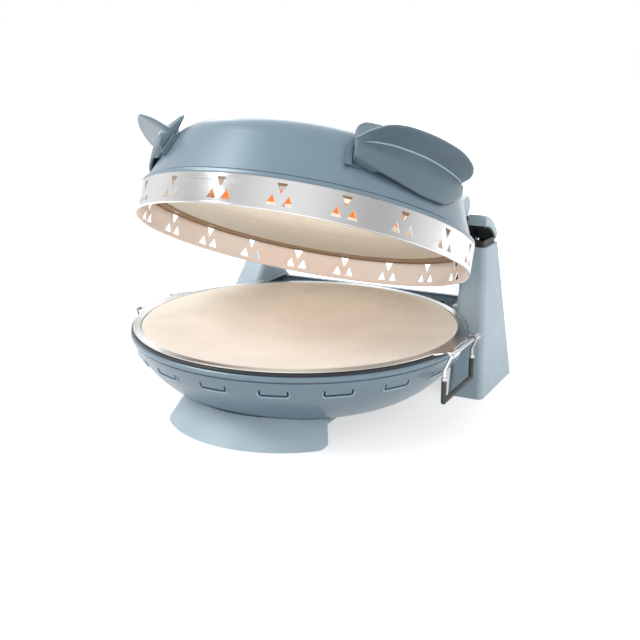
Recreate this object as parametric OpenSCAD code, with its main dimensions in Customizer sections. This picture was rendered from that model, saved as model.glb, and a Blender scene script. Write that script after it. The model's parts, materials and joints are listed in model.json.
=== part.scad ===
// Electric pizza maker with a hinged domed lid.
// X is the width, Y runs from front to back, Z is up and the floor is Z = 0.
// The bowl's axis is the centre line of the object. All lid pieces are drawn
// closed and then turned about the hinge pins to the opening in lid_open.

/* [Lid pose] */
// Opening of the lid at rest, in degrees
lid_open = 23.5; // [20:0.5:27]

/* [Bowl] */
// Outer radius of the bowl's rolled rim
bowl_r = 166.5; // [150:0.5:175]
// Height of the top of the rolled rim
rim_z = 78; // [74:0.5:84]
// Height of the bowl's flat bottom
bowl_bottom_z = 20; // [17:0.5:26]
// Radius of the bowl's flat bottom
bowl_bottom_r = 112; // [100:1:120]
// Thickness of the bowl's sheet
bowl_wall = 1.5; // [1:0.1:2.5]
// Fullness of the bowl's side, 1 is straight and 2 is an ellipse
bowl_fullness = 1.4; // [1.2:0.05:1.8]
// Radius of the rolled rim's bead
bead_r = 3; // [2:0.1:3.5]
// Number of louvre slots round the bowl
slot_count = 18; // [12:1:24]
// Width of a louvre slot
slot_w = 26; // [16:1:32]
// Height of the middle of the louvre slots
slot_z = 59; // [52:0.5:62]
// Height of a louvre's cut
slot_h = 1.5; // [1.2:0.1:2.5]
// Rise of a louvre's upturned ends
slot_rise = 4.5; // [3:0.5:6]

/* [Rim ring] */
// Thickness of the black heat ring on the rim
ring_t = 2.4; // [2:0.1:3.5]

/* [Stone tray] */
// Distance of the tray's edge inside the bowl's edge
tray_set = 2.5; // [1.5:0.5:16.5]
// Thickness of the tray's sheet
tray_t = 1.4; // [1:0.1:2]
// Width of the frame's flat flange
flange_w = 6.4; // [5:0.2:9]
// Thickness of the baking stone
stone_t = 10; // [8:0.5:14]
// Running clearance between the stone and its tray
stone_gap = 0.4; // [0.3:0.1:1]
// Width of the shelf that the stone lies on
shelf_w = 16; // [10:1:24]
// Distance of the bail's pivot beyond the tray's frame
tab_out = 8.5; // [7.8:0.1:13]
// Half width of the tab at its outer edge
tab_half_w = 35.5; // [24:0.5:38]
// Radius of the bail's wire
wire_r = 1.5; // [1.2:0.1:2]
// Radial clearance of the bail's wire in its knuckle
wire_gap = 0.06; // [0.03:0.01:0.1]
// Radius of the knuckle round the wire
knuckle_r = 2.9; // [2.6:0.1:3.5]
// Length of the bail from its pivot to its grip
bail_drop = 43.5; // [36:0.5:50]
// Inward set of the bail's legs
bail_set = 6; // [3:0.5:7]
// Length of the bent part of each leg
bail_bend = 14; // [10:0.5:18]
// Radius of the heat sleeve on the bail
sleeve_r = 2.4; // [2:0.1:2.8]
// Length of the sleeve on each leg
sleeve_leg = 21; // [10:1:24]

/* [Lower heating] */
// Radius of the lower heating ring
low_heater_r = 104; // [80:1:120]
// Radius of a heating element's tube
element_r = 3.3; // [3:0.1:4]
// Clearance between the liner and the bowl
liner_gap = 3.5; // [3:0.1:3.8]
// Thickness of the inner sheets
liner_t = 0.9; // [0.8:0.1:1.2]

/* [Front foot] */
// Height of the foot's outer wall
foot_h = 25; // [23:0.5:30]
// Radius of the foot's curve at the floor
foot_r = 111; // [100:1:118]
// Inward lean of the foot's wall over its height
foot_lean = 21; // [14:0.5:24]
// Forward shift of the foot's centre of curvature
foot_shift = 37; // [34:0.5:44]
// Half width of the foot
foot_half = 83; // [74:1:88]
// Wall of the moulded foot
foot_wall = 3.5; // [2.5:0.1:5]
// Slant of the foot's ends over its height
foot_end_slant = 9; // [6:0.5:14]
// Radius of the foot's lower corners
foot_corner = 3; // [2:0.5:8]

/* [Rear stand] */
// Half width of the stand at the floor beyond the bowl's radius
stand_out = 0; // [-2.5:0.5:3.5]
// Width of a column at the floor
column_w = 37; // [34:0.5:40]
// Depth of the columns at the floor
column_depth = 104; // [96:0.5:110]
// Distance of the columns' back behind the bowl's edge, at the floor
column_behind = 13.5; // [11.5:0.5:19.5]
// Height of the columns above the hinge axis
head_rise = 28; // [25:0.5:32]
// Inward lean of the outer side for each unit of height
side_lean = 0.205; // [0.18:0.005:0.22]
// Inward lean of the inner side for each unit of height
inner_lean = 0.13; // [0.11:0.005:0.15]
// Backward lean of the front face for each unit of height
front_lean = 0.595; // [0.57:0.005:0.62]
// Backward lean of the back face for each unit of height
back_lean = 0.18; // [0.15:0.005:0.2]
// Wall of the moulded stand
stand_wall = 3; // [2.5:0.1:4]
// Radius of the columns' upright edges
column_edge = 6; // [4:0.5:8]
// Height of the bridge between the columns
bridge_z = 81; // [76:0.5:86]
// Height of the underside of the bridge
bridge_bottom = 13; // [8:0.5:15]
// Gap between the stand and the bowl's rim
bowl_gap = 1.8; // [1:0.1:3]

/* [Hinge] */
// Distance of the hinge axis before the bowl's back edge
hinge_set = 2.5; // [-0.5:0.5:5.5]
// Height of the hinge axis
hinge_z = 110; // [107:0.5:113]
// Radius of the hinge pins
pin_r = 4; // [3:0.1:5]
// Radial running clearance of the pins
pin_gap = 0.05; // [0.02:0.01:0.1]
// Outer radius of the hinge bushes
bush_r = 7; // [6:0.1:8]
// Distance of the hinge arms inside the columns' inner sides, at the hinge axis
arm_set = 0.2; // [-0.8:0.1:2.2]
// Thickness of a hinge arm
arm_t = 7; // [5:0.5:9]
// Distance of the arm cover's lug before the hinge axis in the closed lid
lug_back = 31; // [24:1:36]
// Height of the lug's middle above the hinge axis in the closed lid
lug_rise = 64; // [60:1:68]
// Radius of the lug
lug_r = 11; // [8:0.5:13]
// Outer radius of the hinge cap
cap_r = 61.5; // [58:0.5:64]
// Inner radius of the hinge cap
cap_inner_r = 50.2; // [49.6:0.1:52]
// Width of the hinge cap
cap_w = 20; // [16:0.5:22]
// Angle of the cap's front face in the closed lid
cap_front_angle = 111; // [104:1:114]
// Angle of the cap's back edge in the closed lid
cap_back_angle = 61; // [58:1:70]

/* [Lid] */
// Distance of the band inside the bowl's edge
band_set = 0.5; // [-1.5:0.5:8.5]
// Height of the band's lower edge in the closed lid
band_z = 85; // [84.2:0.2:88]
// Height of the band
band_h = 28; // [25:0.5:30]
// Thickness of the band's sheet
band_t = 0.9; // [0.7:0.1:1.2]
// Radius of the band's rolled edge
band_bead = 1.2; // [1:0.1:1.6]
// Number of vent groups round the band
vent_count = 19; // [14:1:22]
// Width of a vent triangle
vent_w = 9.4; // [7:0.1:10]
// Height of a vent triangle
vent_h = 9.2; // [7:0.1:9.8]
// Height of the painted ledge over the band
ledge_h = 3.8; // [3:0.1:5]
// Depth of the shadow groove over the ledge
groove_h = 1.4; // [1:0.1:2]
// Distance of the dome's foot inside the band
dome_set = 5; // [4:0.5:14]
// Height of the dome above its foot
dome_h = 75.5; // [70:0.5:80]
// Lean of the dome's side, in degrees from upright
dome_lean = 21; // [18:0.5:23]
// Radius of the dome's shoulder
shoulder_r = 34; // [26:1:38]
// Radius of the dome's crown
crown_r = 480; // [400:5:560]
// Thickness of the dome's sheet
dome_t = 1.5; // [1.2:0.1:2]
// Distance of the upper tube's outer run inside the dome's foot
top_heater_set = 39; // [35:1:49]
// Distance between the upper tube's two runs
top_heater_gap = 20; // [18:1:42]
// Angle of the upper heating tube's bend, to the left of the front
heater_bend_angle = 40; // [30:1:44]
// Angle of the upper heating tube's ends, to the right of the front
heater_end_angle = 70; // [60:1:80]
// Drop of the upper heating tube below the band's top
heater_drop = 3.5; // [3:0.5:8]
// Depth of the reflector over the step ring
reflector_h = 24; // [15:1:40]

/* [Lid handles] */
// Angle of the handle's front end from the side, towards the front
handle_front = 52; // [46:1:56]
// Angle of the handle's back end from the side
handle_back = 1; // [-4:1:6]
// Distance of the handle's crease inside the dome's foot
crease_set = 7; // [5:0.5:8.5]
// Height of the crease in the closed lid
crease_z = 160; // [156:0.5:162]
// Reach of the handle's wing beyond the dome's foot
wing_out = 20.5; // [11:0.5:23]
// Height of the wing's rim in the closed lid
wing_z = 175.5; // [170:0.5:180]
// Distance of the handle's plate inside the dome's foot
plate_set = 18; // [16:0.5:21]
// Height of the upright plate's top edge in the closed lid
plate_z = 183; // [174:0.5:186]
// Distance of the handle's flap inside the dome's foot
flap_set = 0.5; // [-2:0.5:1]
// Height of the lower flap's edge in the closed lid
flap_z = 128; // [127:0.5:136]
// Thickness of the fins
fin_t = 3.4; // [2.6:0.1:4]
// Thickness of the spacer under the handle
spacer_t = 1.6; // [1:0.1:3]

/* [Control] */
// Distance of the knob before the columns' back
knob_set = 44; // [40:1:52]
// Height of the knob
knob_z = 52; // [46:1:60]
// Radius of the knob
knob_r = 17; // [12:0.5:20]
// Height of the knob
knob_h = 13; // [9:0.5:16]
// Radius of the control shaft
shaft_r = 3; // [2.5:0.1:3.5]
// Radius of the cord gland
gland_r = 9; // [7:0.5:10]

/* [Hidden] */

eps = 0.01;
seat_gap = 0.1;
body_gap = 0.3;
round_fn = 96;
fine_fn = 48;
small_fn = 24;
steps = 20;

paint = [0.45, 0.55, 0.61];
pale = [0.63, 0.71, 0.75];
dark = [0.08, 0.09, 0.1];
steel = [0.86, 0.86, 0.87];
stone_tone = [0.92, 0.88, 0.83];

// What follows from the bowl's radius
tray_r = bowl_r - tray_set;
band_r = bowl_r - band_set;
dome_r = band_r - dome_set;
stand_x = bowl_r + stand_out;
column_back = bowl_r + column_behind;
column_front = column_back - column_depth;
hinge_y = bowl_r - hinge_set;
arm_outer_x = stand_x - column_w - inner_lean * hinge_z - arm_set;
top_heater_r = dome_r - top_heater_set;
top_heater_inner_r = top_heater_r - top_heater_gap;
crease_r = dome_r - crease_set;
wing_r = dome_r + wing_out;
plate_r = dome_r - plate_set;
flap_r = dome_r - flap_set;
knob_y = column_back - knob_set;

// The object's box is centred on Y = 0, so everything is shifted by half its overhang.
cap_back_now = cap_back_angle - lid_open;
back_reach = hinge_y + cap_r * cos(cap_back_now);
middle_y = (back_reach - bowl_r) / 2;

// Bowl heights and radii
clear_r = bowl_r + bowl_gap;
bead_z = rim_z - bead_r;
shoulder_z = bead_z - bead_r - 1;
shoulder_bowl_r = bowl_r - 2.4;
slot_corner = slot_w / 2 - slot_h;
ring_z = rim_z + seat_gap;
ring_outer = bowl_r - 1.3;
rim_inner = bowl_r - bead_r - 4;
flange_z = ring_z + ring_t + seat_gap;
tray_top = flange_z + tray_t;
pan_r = tray_r - flange_w;
stone_r = pan_r - tray_t - stone_gap;
stone_top = tray_top + 0.5;
stone_z = stone_top - stone_t;
shelf_z = stone_z - seat_gap - tray_t;

// Bail
tab_reach = tray_r + tab_out;
pivot_z = flange_z - 0.9;
leg_y = tab_half_w + wire_r + 1;
grip_z = pivot_z - bail_drop;

// Closed lid heights
band_top = band_z + band_h;
ledge_z = band_top + seat_gap;
groove_z = ledge_z + ledge_h;
dome_z = groove_z + groove_h;
dome_top = dome_z + dome_h;
step_z = band_top - 3.5;

// Columns: the rectangle of a column at height z, as [inner x, outer x, front y, back y]
column_h = hinge_z + head_rise;
function column_at(z) = [
    stand_x - column_w - inner_lean * z,
    stand_x - side_lean * z,
    column_front + front_lean * z,
    column_back + back_lean * z
];
side_tilt = atan(side_lean);
head_r = cap_inner_r - 2.5;
lamp_z = knob_z + knob_r + 12;
bridge_back = column_back + 2;
bridge_back_top = column_back + back_lean * bridge_z - 3;
cover_t = 2.5;
pad_r = 7;
pad_h = 2;
pad_x = stand_x - column_w / 2 - 1;
pad_ys = [column_front + 18, column_back - 18];
strap_x = 46;
strap_t = 2.2;
strap_w = 24;
strap_z = bowl_bottom_z - seat_gap - strap_t;
strap_y = bowl_bottom_r * 0.45;
strap_end_y = clear_r + stand_wall + 0.7;
pin_end_x = column_at(hinge_z)[1] - stand_wall - 2;
boss_r = pin_r + 4;
arm_inner_x = arm_outer_x - arm_t;

// Shared helpers
module centred() translate([0, -middle_y, 0]) children();

module lid_place()
    centred()
        translate([0, hinge_y, hinge_z])
            rotate([-lid_open, 0, 0])
                translate([0, -hinge_y, -hinge_z])
                    children();

module both_sides() {
    children();
    mirror([1, 0, 0]) children();
}

module ring_sector(angle_from, angle_to)
    rotate([0, 0, angle_from])
        rotate_extrude(angle = angle_to - angle_from, $fn = round_fn)
            children();

// A bar of the hinge axis direction, from x_from to x_to
module x_bar(r, x_from, x_to)
    translate([x_from, hinge_y, hinge_z])
        rotate([0, 90, 0])
            cylinder(r = r, h = x_to - x_from, $fn = fine_fn);

function arc(cx, cy, r, a0, a1, n) =
    [for (i = [0 : n]) [cx + r * cos(a0 + (a1 - a0) * i / n), cy + r * sin(a0 + (a1 - a0) * i / n)]];

function reversed(list) = [for (i = [len(list) - 1 : -1 : 0]) list[i]];

// Bowl profile: r and z from the flat bottom up to the shoulder, drawn in by inset
function bowl_side(inset) = [for (i = [0 : steps])
    let (
        u = i / steps,
        r0 = bowl_bottom_r - inset * 0.6,
        r1 = shoulder_bowl_r - inset,
        z0 = bowl_bottom_z + inset
    )
    [r0 + (r1 - r0) * pow(1 - pow(1 - u, bowl_fullness), 1 / bowl_fullness),
     z0 + (shoulder_z - z0) * u]];

module bowl_outer_solid(grow)
    rotate_extrude($fn = round_fn)
        polygon(concat([[0, bowl_bottom_z - grow]], bowl_side(-grow), [[0, shoulder_z]]));

// One louvre: a flat cut with two upturned ends, seen from outside
module louvre_outline()
    polygon([
        [-slot_w / 2, slot_rise],
        [-slot_w / 2, 0],
        [-slot_corner, -slot_h],
        [slot_corner, -slot_h],
        [slot_w / 2, 0],
        [slot_w / 2, slot_rise],
        [slot_w / 2 - slot_h, slot_rise],
        [slot_corner, 0],
        [-slot_corner, 0],
        [-slot_w / 2 + slot_h, slot_rise]
    ]);

module base_bowl() color(paint) centred()
    difference() {
        rotate_extrude($fn = round_fn)
            polygon(concat(
                [[0, bowl_bottom_z]],
                bowl_side(0),
                [[shoulder_bowl_r - 0.9, shoulder_z + 0.6]],
                arc(bowl_r - bead_r, bead_z, bead_r, -60, 90, 12),
                [[rim_inner, rim_z], [rim_inner, rim_z - 1.4]],
                [[shoulder_bowl_r - bowl_wall - 0.9, shoulder_z + 0.6]],
                reversed(bowl_side(bowl_wall)),
                [[0, bowl_bottom_z + bowl_wall]]
            ));
        for (i = [0 : slot_count - 1])
            rotate([0, 0, i * 360 / slot_count])
                translate([0, -bowl_r + 18, slot_z])
                    rotate([90, 0, 0])
                        linear_extrude(height = 18)
                            louvre_outline();
        // Hole for the lead at the back
        translate([0, bowl_r - 30, lead_z])
            rotate([-90, 0, 0])
                cylinder(r = lead_r + 2.4, h = 32, $fn = small_fn);
    }

module rim_ring() color(dark) centred()
    rotate_extrude($fn = round_fn)
        polygon([
            [pan_r + 2 * seat_gap, ring_z],
            [ring_outer, ring_z],
            [ring_outer + 0.4, ring_z + 0.5],
            [ring_outer + 0.4, ring_z + ring_t - 0.5],
            [ring_outer, ring_z + ring_t],
            [pan_r + 2 * seat_gap, ring_z + ring_t]
        ]);

// Heat shield inside the bowl, hung from the rim
module base_liner() color(steel) centred()
    difference() {
        rotate_extrude($fn = round_fn)
            polygon(concat(
                [[0, bowl_bottom_z + liner_gap]],
                bowl_side(liner_gap),
                [[rim_inner - seat_gap, rim_z - 2],
                 [rim_inner - seat_gap, rim_z - 0.3],
                 [rim_inner - seat_gap - liner_t, rim_z - 0.3],
                 [rim_inner - seat_gap - liner_t, rim_z - 2]],
                reversed(bowl_side(liner_gap + liner_t)),
                [[0, bowl_bottom_z + liner_gap + liner_t]]
            ));
        for (side = [-1, 1])
            translate([side * 9, low_heater_r, bowl_bottom_z])
                cylinder(r = element_r + 1.5, h = 30, $fn = small_fn);
    }

pan_low_z = bowl_bottom_z + liner_gap + liner_t + seat_gap;
pan_mid_z = pan_low_z + 7;
pan_high_z = pan_mid_z + 4;
pan_edge = low_heater_r + 22;

// Bright pan under the lower heating ring, standing on the liner's floor
module lower_reflector() color(steel) centred()
    difference() {
        rotate_extrude($fn = round_fn)
            polygon([
                [0, pan_mid_z],
                [50, pan_mid_z],
                [54, pan_low_z],
                [60, pan_low_z],
                [64, pan_mid_z],
                [low_heater_r - 20, pan_mid_z],
                [low_heater_r - 14, pan_high_z],
                [low_heater_r + 12, pan_high_z],
                [pan_edge, pan_high_z + 10],
                [pan_edge - liner_t, pan_high_z + 10.6],
                [low_heater_r + 11.6, pan_high_z + liner_t],
                [low_heater_r - 14.4, pan_high_z + liner_t],
                [low_heater_r - 20.4, pan_mid_z + liner_t],
                [63.4, pan_mid_z + liner_t],
                [59.4, pan_low_z + liner_t],
                [54.6, pan_low_z + liner_t],
                [50.6, pan_mid_z + liner_t],
                [0, pan_mid_z + liner_t]
            ]);
        for (side = [-1, 1])
            translate([side * 9, low_heater_r * cos(heater_turn), pan_low_z])
                cylinder(r = element_r + 1.5, h = 30, $fn = small_fn);
    }

low_heater_z = shelf_z - 14;
heater_turn = asin(9 / low_heater_r);

// Open heating ring whose ends turn down through the pans
module heating_ring(ring_radius, z, end_to)
    union() {
        ring_sector(90 + heater_turn, 450 - heater_turn)
            translate([ring_radius, z])
                circle(r = element_r, $fn = small_fn);
        for (side = [-1, 1])
            translate([side * ring_radius * sin(heater_turn), ring_radius * cos(heater_turn), min(z, end_to)])
                cylinder(r = element_r * 0.98, h = abs(end_to - z), $fn = small_fn);
    }

module lower_heater() color(dark) centred()
    heating_ring(low_heater_r, low_heater_z, bowl_bottom_z + bowl_wall + 1);

// Saddle clips that hold a heating ring against a pan
module saddle_clips(ring_radius, z, base_z, angles)
    for (a = angles)
        rotate([0, 0, a])
            translate([ring_radius, 0, 0])
                difference() {
                    translate([-7, -4, min(base_z, z - element_r)])
                        cube([14, 8, max(base_z, z + element_r) + 1.2 - min(base_z, z - element_r)]);
                    translate([0, 6, z])
                        rotate([90, 0, 0])
                            cylinder(r = element_r + 0.35, h = 12, $fn = small_fn);
                    translate([-5.6, -6, min(base_z, z - element_r) + 1.2])
                        cube([11.2, 12, abs(z - base_z) - element_r - 2.4]);
                }

module lower_heater_clips() color(steel) centred()
    saddle_clips(low_heater_r, low_heater_z, pan_high_z + liner_t + seat_gap, [30, 150, 270]);

// Flat tab at one side of the tray with the knuckle that carries the bail
module tray_tab()
    difference() {
        union() {
            linear_extrude(height = tray_t)
                polygon([
                    [pan_r - 1, -(tab_half_w + 10)],
                    [tray_r - 4, -(tab_half_w + 9)],
                    [tab_reach - 5, -(tab_half_w - 1)],
                    [tab_reach, -tab_half_w + 1],
                    [tab_reach, tab_half_w - 1],
                    [tab_reach - 5, tab_half_w - 1],
                    [tray_r - 4, tab_half_w + 9],
                    [pan_r - 1, tab_half_w + 10],
                    [pan_r + 2, 0]
                ]);
            translate([tab_reach, tab_half_w, pivot_z - flange_z])
                rotate([90, 0, 0])
                    cylinder(r = knuckle_r, h = 2 * tab_half_w, $fn = fine_fn);
        }
        translate([tab_reach, tab_half_w + 1, pivot_z - flange_z])
            rotate([90, 0, 0])
                cylinder(r = wire_r + wire_gap, h = 2 * tab_half_w + 2, $fn = fine_fn);
        // The knuckle is rolled only at its two ends
        translate([tab_reach - knuckle_r - 1, -tab_half_w + 12, pivot_z - flange_z - knuckle_r - 1])
            cube([2 * knuckle_r + 2, 2 * tab_half_w - 24, 2 * knuckle_r + 2]);
    }

// Pressed frame: flange, upright wall and the shelf under the stone
module tray_frame() color(steel) centred()
    difference() {
        union() {
            rotate_extrude($fn = round_fn)
                polygon([
                    [pan_r - shelf_w, shelf_z],
                    [pan_r, shelf_z],
                    [pan_r, flange_z],
                    [tray_r - 0.7, flange_z],
                    [tray_r, flange_z + 0.5],
                    [tray_r, tray_top - 0.5],
                    [tray_r - 0.7, tray_top],
                    [pan_r - tray_t + 0.4, tray_top],
                    [pan_r - tray_t, tray_top - 0.4],
                    [pan_r - tray_t, shelf_z + tray_t],
                    [pan_r - shelf_w, shelf_z + tray_t]
                ]);
            both_sides() translate([0, 0, flange_z]) tray_tab();
        }
        translate([0, 0, shelf_z + tray_t])
            cylinder(r = pan_r - tray_t, h = stone_t + 6, $fn = round_fn);
    }

module pizza_stone() color(stone_tone) centred()
    rotate_extrude($fn = round_fn)
        polygon([
            [0, stone_z],
            [stone_r - 1.5, stone_z],
            [stone_r, stone_z + 1.5],
            [stone_r, stone_top - 1.5],
            [stone_r - 1.5, stone_top],
            [0, stone_top]
        ]);

// A straight rod between two points
module rod(a, b, r) {
    d = b - a;
    length = norm(d);
    translate(a)
        rotate([0, acos(d[2] / length), atan2(d[1], d[0])])
            cylinder(r = r, h = length, $fn = small_fn);
}

bail_knee = [tab_reach - bail_set, leg_y, pivot_z - bail_bend];
bail_foot = [tab_reach - bail_set, leg_y, grip_z];
bail_start = [tab_reach, leg_y, pivot_z];
sleeve_top = [tab_reach - bail_set, leg_y, grip_z + sleeve_leg];

module bail_wire()
    union() {
        rod([tab_reach, -leg_y, pivot_z], bail_start, wire_r);
        for (side = [-1, 1])
            mirror([0, side < 0 ? 1 : 0, 0]) {
                translate(bail_start) sphere(r = wire_r + 0.04, $fn = small_fn);
                rod(bail_start, bail_knee, wire_r);
                translate(bail_knee) sphere(r = wire_r + 0.04, $fn = small_fn);
                rod(bail_knee, bail_foot, wire_r);
                translate(bail_foot) sphere(r = wire_r + 0.04, $fn = small_fn);
            }
        rod([bail_foot[0], -leg_y, grip_z], bail_foot, wire_r);
    }

module bail_sleeve()
    difference() {
        union() {
            for (side = [-1, 1])
                mirror([0, side < 0 ? 1 : 0, 0]) {
                    rod(bail_foot, sleeve_top, sleeve_r);
                    translate(bail_foot) sphere(r = sleeve_r + 0.04, $fn = small_fn);
                }
            rod([bail_foot[0], -leg_y, grip_z], bail_foot, sleeve_r);
        }
        for (side = [-1, 1])
            mirror([0, side < 0 ? 1 : 0, 0]) {
                rod(bail_foot, sleeve_top + [0, 0, 1], wire_r + 0.12);
                translate(bail_foot) sphere(r = wire_r + 0.16, $fn = small_fn);
            }
        rod([bail_foot[0], -leg_y, grip_z], bail_foot, wire_r + 0.12);
    }

module bail_right() color(steel) centred() bail_wire();
module bail_left() color(steel) centred() mirror([1, 0, 0]) bail_wire();
module bail_grip_right() color(dark) centred() bail_sleeve();
module bail_grip_left() color(dark) centred() mirror([1, 0, 0]) bail_sleeve();

// Front outline of the foot with its slanted ends and round lower corners, standing in X and Z
foot_angle = asin(min(0.95, foot_half / (foot_r - foot_lean))) + 3;
module foot_outline()
    polygon(concat(
        arc(-foot_half + foot_corner, foot_corner, foot_corner, 180, 270, 8),
        arc(foot_half - foot_corner, foot_corner, foot_corner, 270, 360, 8),
        [[foot_half - foot_end_slant, foot_h], [-foot_half + foot_end_slant, foot_h]]
    ));

foot_flange_z = bowl_bottom_z - seat_gap - 3;
function foot_inner(z) =
    foot_r - foot_wall - (foot_lean * (foot_flange_z - 3) / foot_h + 1) * z / foot_flange_z;

// Curved moulded foot under the front of the bowl
module front_foot() color(pale) centred()
    difference() {
        intersection() {
            translate([0, -foot_shift, 0])
                ring_sector(-90 - foot_angle, -90 + foot_angle)
                    polygon([
                        [foot_r, 0],
                        [foot_r - foot_lean, foot_h],
                        [foot_r - foot_lean - foot_wall, foot_h],
                        [foot_r - foot_lean * foot_flange_z / foot_h - foot_wall - 1, foot_flange_z + 3],
                        [foot_r - 52, foot_flange_z + 3],
                        [foot_r - 52, foot_flange_z],
                        [foot_inner(foot_flange_z), foot_flange_z],
                        [foot_r - foot_wall, 0]
                    ]);
            rotate([90, 0, 0])
                linear_extrude(height = bowl_r)
                    foot_outline();
        }
        bowl_outer_solid(body_gap);
        for (a = [-26, 26])
            translate([0, -foot_shift, foot_flange_z - 1])
                rotate([0, 0, a - 90])
                    translate([foot_r - 44, 0, 0])
                        cylinder(r = 2.2, h = 6, $fn = small_fn);
    }

// Soft pads under the foot's wall
module front_foot_pads() color(dark) centred()
    translate([0, -foot_shift, 0])
        for (a = [-30, 30])
            ring_sector(a - 98, a - 82)
                polygon([
                    [foot_inner(0) - 8, 0],
                    [foot_inner(0) - seat_gap, 0],
                    [foot_inner(5) - seat_gap, 5],
                    [foot_inner(0) - 8, 5]
                ]);

module pan_screw(r, head, length) {
    translate([0, 0, -head * 0.6])
        cylinder(r1 = head * 0.8, r2 = head, h = head * 0.6, $fn = small_fn);
    cylinder(r = r, h = length, $fn = small_fn);
}

module foot_screws() color(steel) centred()
    for (a = [-26, 26])
        translate([0, -foot_shift, foot_flange_z])
            rotate([0, 0, a - 90])
                translate([foot_r - 44, 0, 0])
                    pan_screw(2, 4, 2.9);

// One slice of a column at height z, drawn in by inset
module column_slice(z, inset) {
    c = column_at(z);
    r = max(column_edge - inset, 1.5);
    for (x = [c[0] + inset + r, c[1] - inset - r])
        for (y = [c[2] + inset + r, c[3] - inset - r])
            translate([x, y, z])
                cylinder(r = r, h = eps, $fn = small_fn);
}

module column_solid(inset, z_from, z_to)
    hull() {
        column_slice(z_from, inset);
        column_slice(z_to, inset);
    }

// Everything behind the hinge axis that lies outside the cap's sweep
module head_trim()
    difference() {
        translate([0, hinge_y, hinge_z])
            cube([stand_x, 80, 60]);
        x_bar(head_r, -1, stand_x + 1);
    }

// Cross-section of the bridge, in Y and Z, drawn in by inset
module bridge_section(inset)
    polygon([
        [hinge_y - 40 + inset, bridge_bottom + inset],
        [bridge_back - inset, bridge_bottom + inset],
        [bridge_back_top - inset, bridge_z - 6 - inset],
        [bridge_back_top - 6 - inset, bridge_z - inset],
        [hinge_y - 40 + inset, bridge_z - inset]
    ]);

bridge_half = column_at(bridge_bottom)[0] + stand_wall + 1;

// Room for the bowl and for the lid's band
module bowl_clearance() {
    bowl_outer_solid(bowl_gap);
    translate([0, 0, bead_z - 8])
        cylinder(r = clear_r, h = column_h, $fn = round_fn);
}

module bridge_block(inset, half)
    translate([-half, 0, 0])
        rotate([90, 0, 90])
            linear_extrude(height = 2 * half)
                bridge_section(inset);

cover_x = 84;
cover_z0 = bridge_bottom + 9;
cover_z1 = bridge_z - 14;
cover_mid_z = (cover_z0 + cover_z1) / 2;

// Two leaning columns joined behind the bowl
module rear_stand() color(pale) centred()
    difference() {
        union() {
            difference() {
                union() {
                    both_sides() column_solid(0, 0, column_h);
                    difference() {
                        bridge_block(0, bridge_half);
                        translate([0, 0, -1])
                            cylinder(r = clear_r, h = 2 * bridge_z, $fn = round_fn);
                    }
                }
                // The columns' hollow, open at the head
                both_sides() column_solid(stand_wall, stand_wall, column_h + 6);
                // The bridge's hollow
                difference() {
                    bridge_block(stand_wall, bridge_half + 6);
                    translate([0, 0, -1])
                        cylinder(r = clear_r + stand_wall, h = 2 * bridge_z, $fn = round_fn);
                }
            }
            // Bosses for the hinge pins inside the outer walls
            both_sides()
                x_bar(boss_r, pin_end_x - 4, column_at(hinge_z)[1] - 1.5);
            both_sides()
                x_bar(bush_r + 3, arm_outer_x, arm_outer_x + 9);
            // Lugs behind the cover's ends
            both_sides()
                translate([cover_x - 15, bridge_back_at(cover_mid_z) - cover_t - 6.6, cover_mid_z - 6])
                    cube([21, 6, 12]);
        }
        bowl_clearance();
        both_sides() head_trim();
        // The columns' inner faces stand upright beside the hinge arms
        both_sides()
            translate([0, column_front, hinge_z - 34])
                cube([arm_outer_x + body_gap, 200, 100]);
        // Bores for the bushes and the pins
        both_sides() x_bar(bush_r, arm_outer_x - 4, arm_outer_x + 8.2);
        on_cover(cover_x - 8, cover_mid_z) cylinder(r = 1.7, h = 24, center = true, $fn = small_fn);
        on_cover(8 - cover_x, cover_mid_z) cylinder(r = 1.7, h = 24, center = true, $fn = small_fn);
        both_sides() x_bar(pin_r + pin_gap, arm_outer_x, pin_end_x + 0.5);
        // Opening behind the removable cover
        intersection() {
            translate([-cover_x, bridge_back - 8, cover_z0])
                cube([2 * cover_x, 40, cover_z1 - cover_z0]);
            rotate([90, 0, 90])
                linear_extrude(height = 2 * cover_x, center = true)
                    polygon([
                        [bridge_back_at(cover_z0 - 5) - stand_wall - 1, cover_z0 - 5],
                        [bridge_back + 40, cover_z0 - 5],
                        [bridge_back + 40, cover_z1 + 5],
                        [bridge_back_at(cover_z1 + 5) - stand_wall - 1, cover_z1 + 5]
                    ]);
        }
        // Hole for the control shaft and the lamp
        on_left_side(knob_z) translate([0, 0, -20]) cylinder(r = shaft_r + 1, h = 30, $fn = small_fn);
        on_left_side(lamp_z) translate([0, 0, -20]) cylinder(r = 3.6, h = 30, $fn = small_fn);
        // Sockets for the soft feet
        both_sides()
            for (y = pad_ys)
                translate([pad_x, y, -1])
                    cylinder(r = pad_r + seat_gap, h = pad_h + 1, $fn = small_fn);
        // Hole for the lead from the bowl
        translate([0, clear_r - 10, lead_z])
            rotate([-90, 0, 0])
                cylinder(r = lead_r + 2.4, h = stand_wall + 16, $fn = small_fn);
        // Slots for the straps under the bowl
        both_sides()
            translate([strap_x - strap_w / 2 - 0.3, bowl_bottom_r, strap_z - 0.1])
                cube([strap_w + 0.6, strap_end_y + 4 - bowl_bottom_r, strap_t + 0.4]);
    }

// Local frame on the left column's outer side, with +Z pointing out of it
module on_left_side(z)
    translate([-(stand_x - side_lean * z), knob_y + (z - knob_z) * 0.3, z])
        rotate([0, -(90 - side_tilt), 0])
            children();

// Back plane of the bridge at height z
function bridge_back_at(z) =
    bridge_back + (bridge_back_top - bridge_back) * (z - bridge_bottom) / (bridge_z - 6 - bridge_bottom);

back_tilt = atan((bridge_back_top - bridge_back) / (bridge_z - 6 - bridge_bottom));

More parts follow.
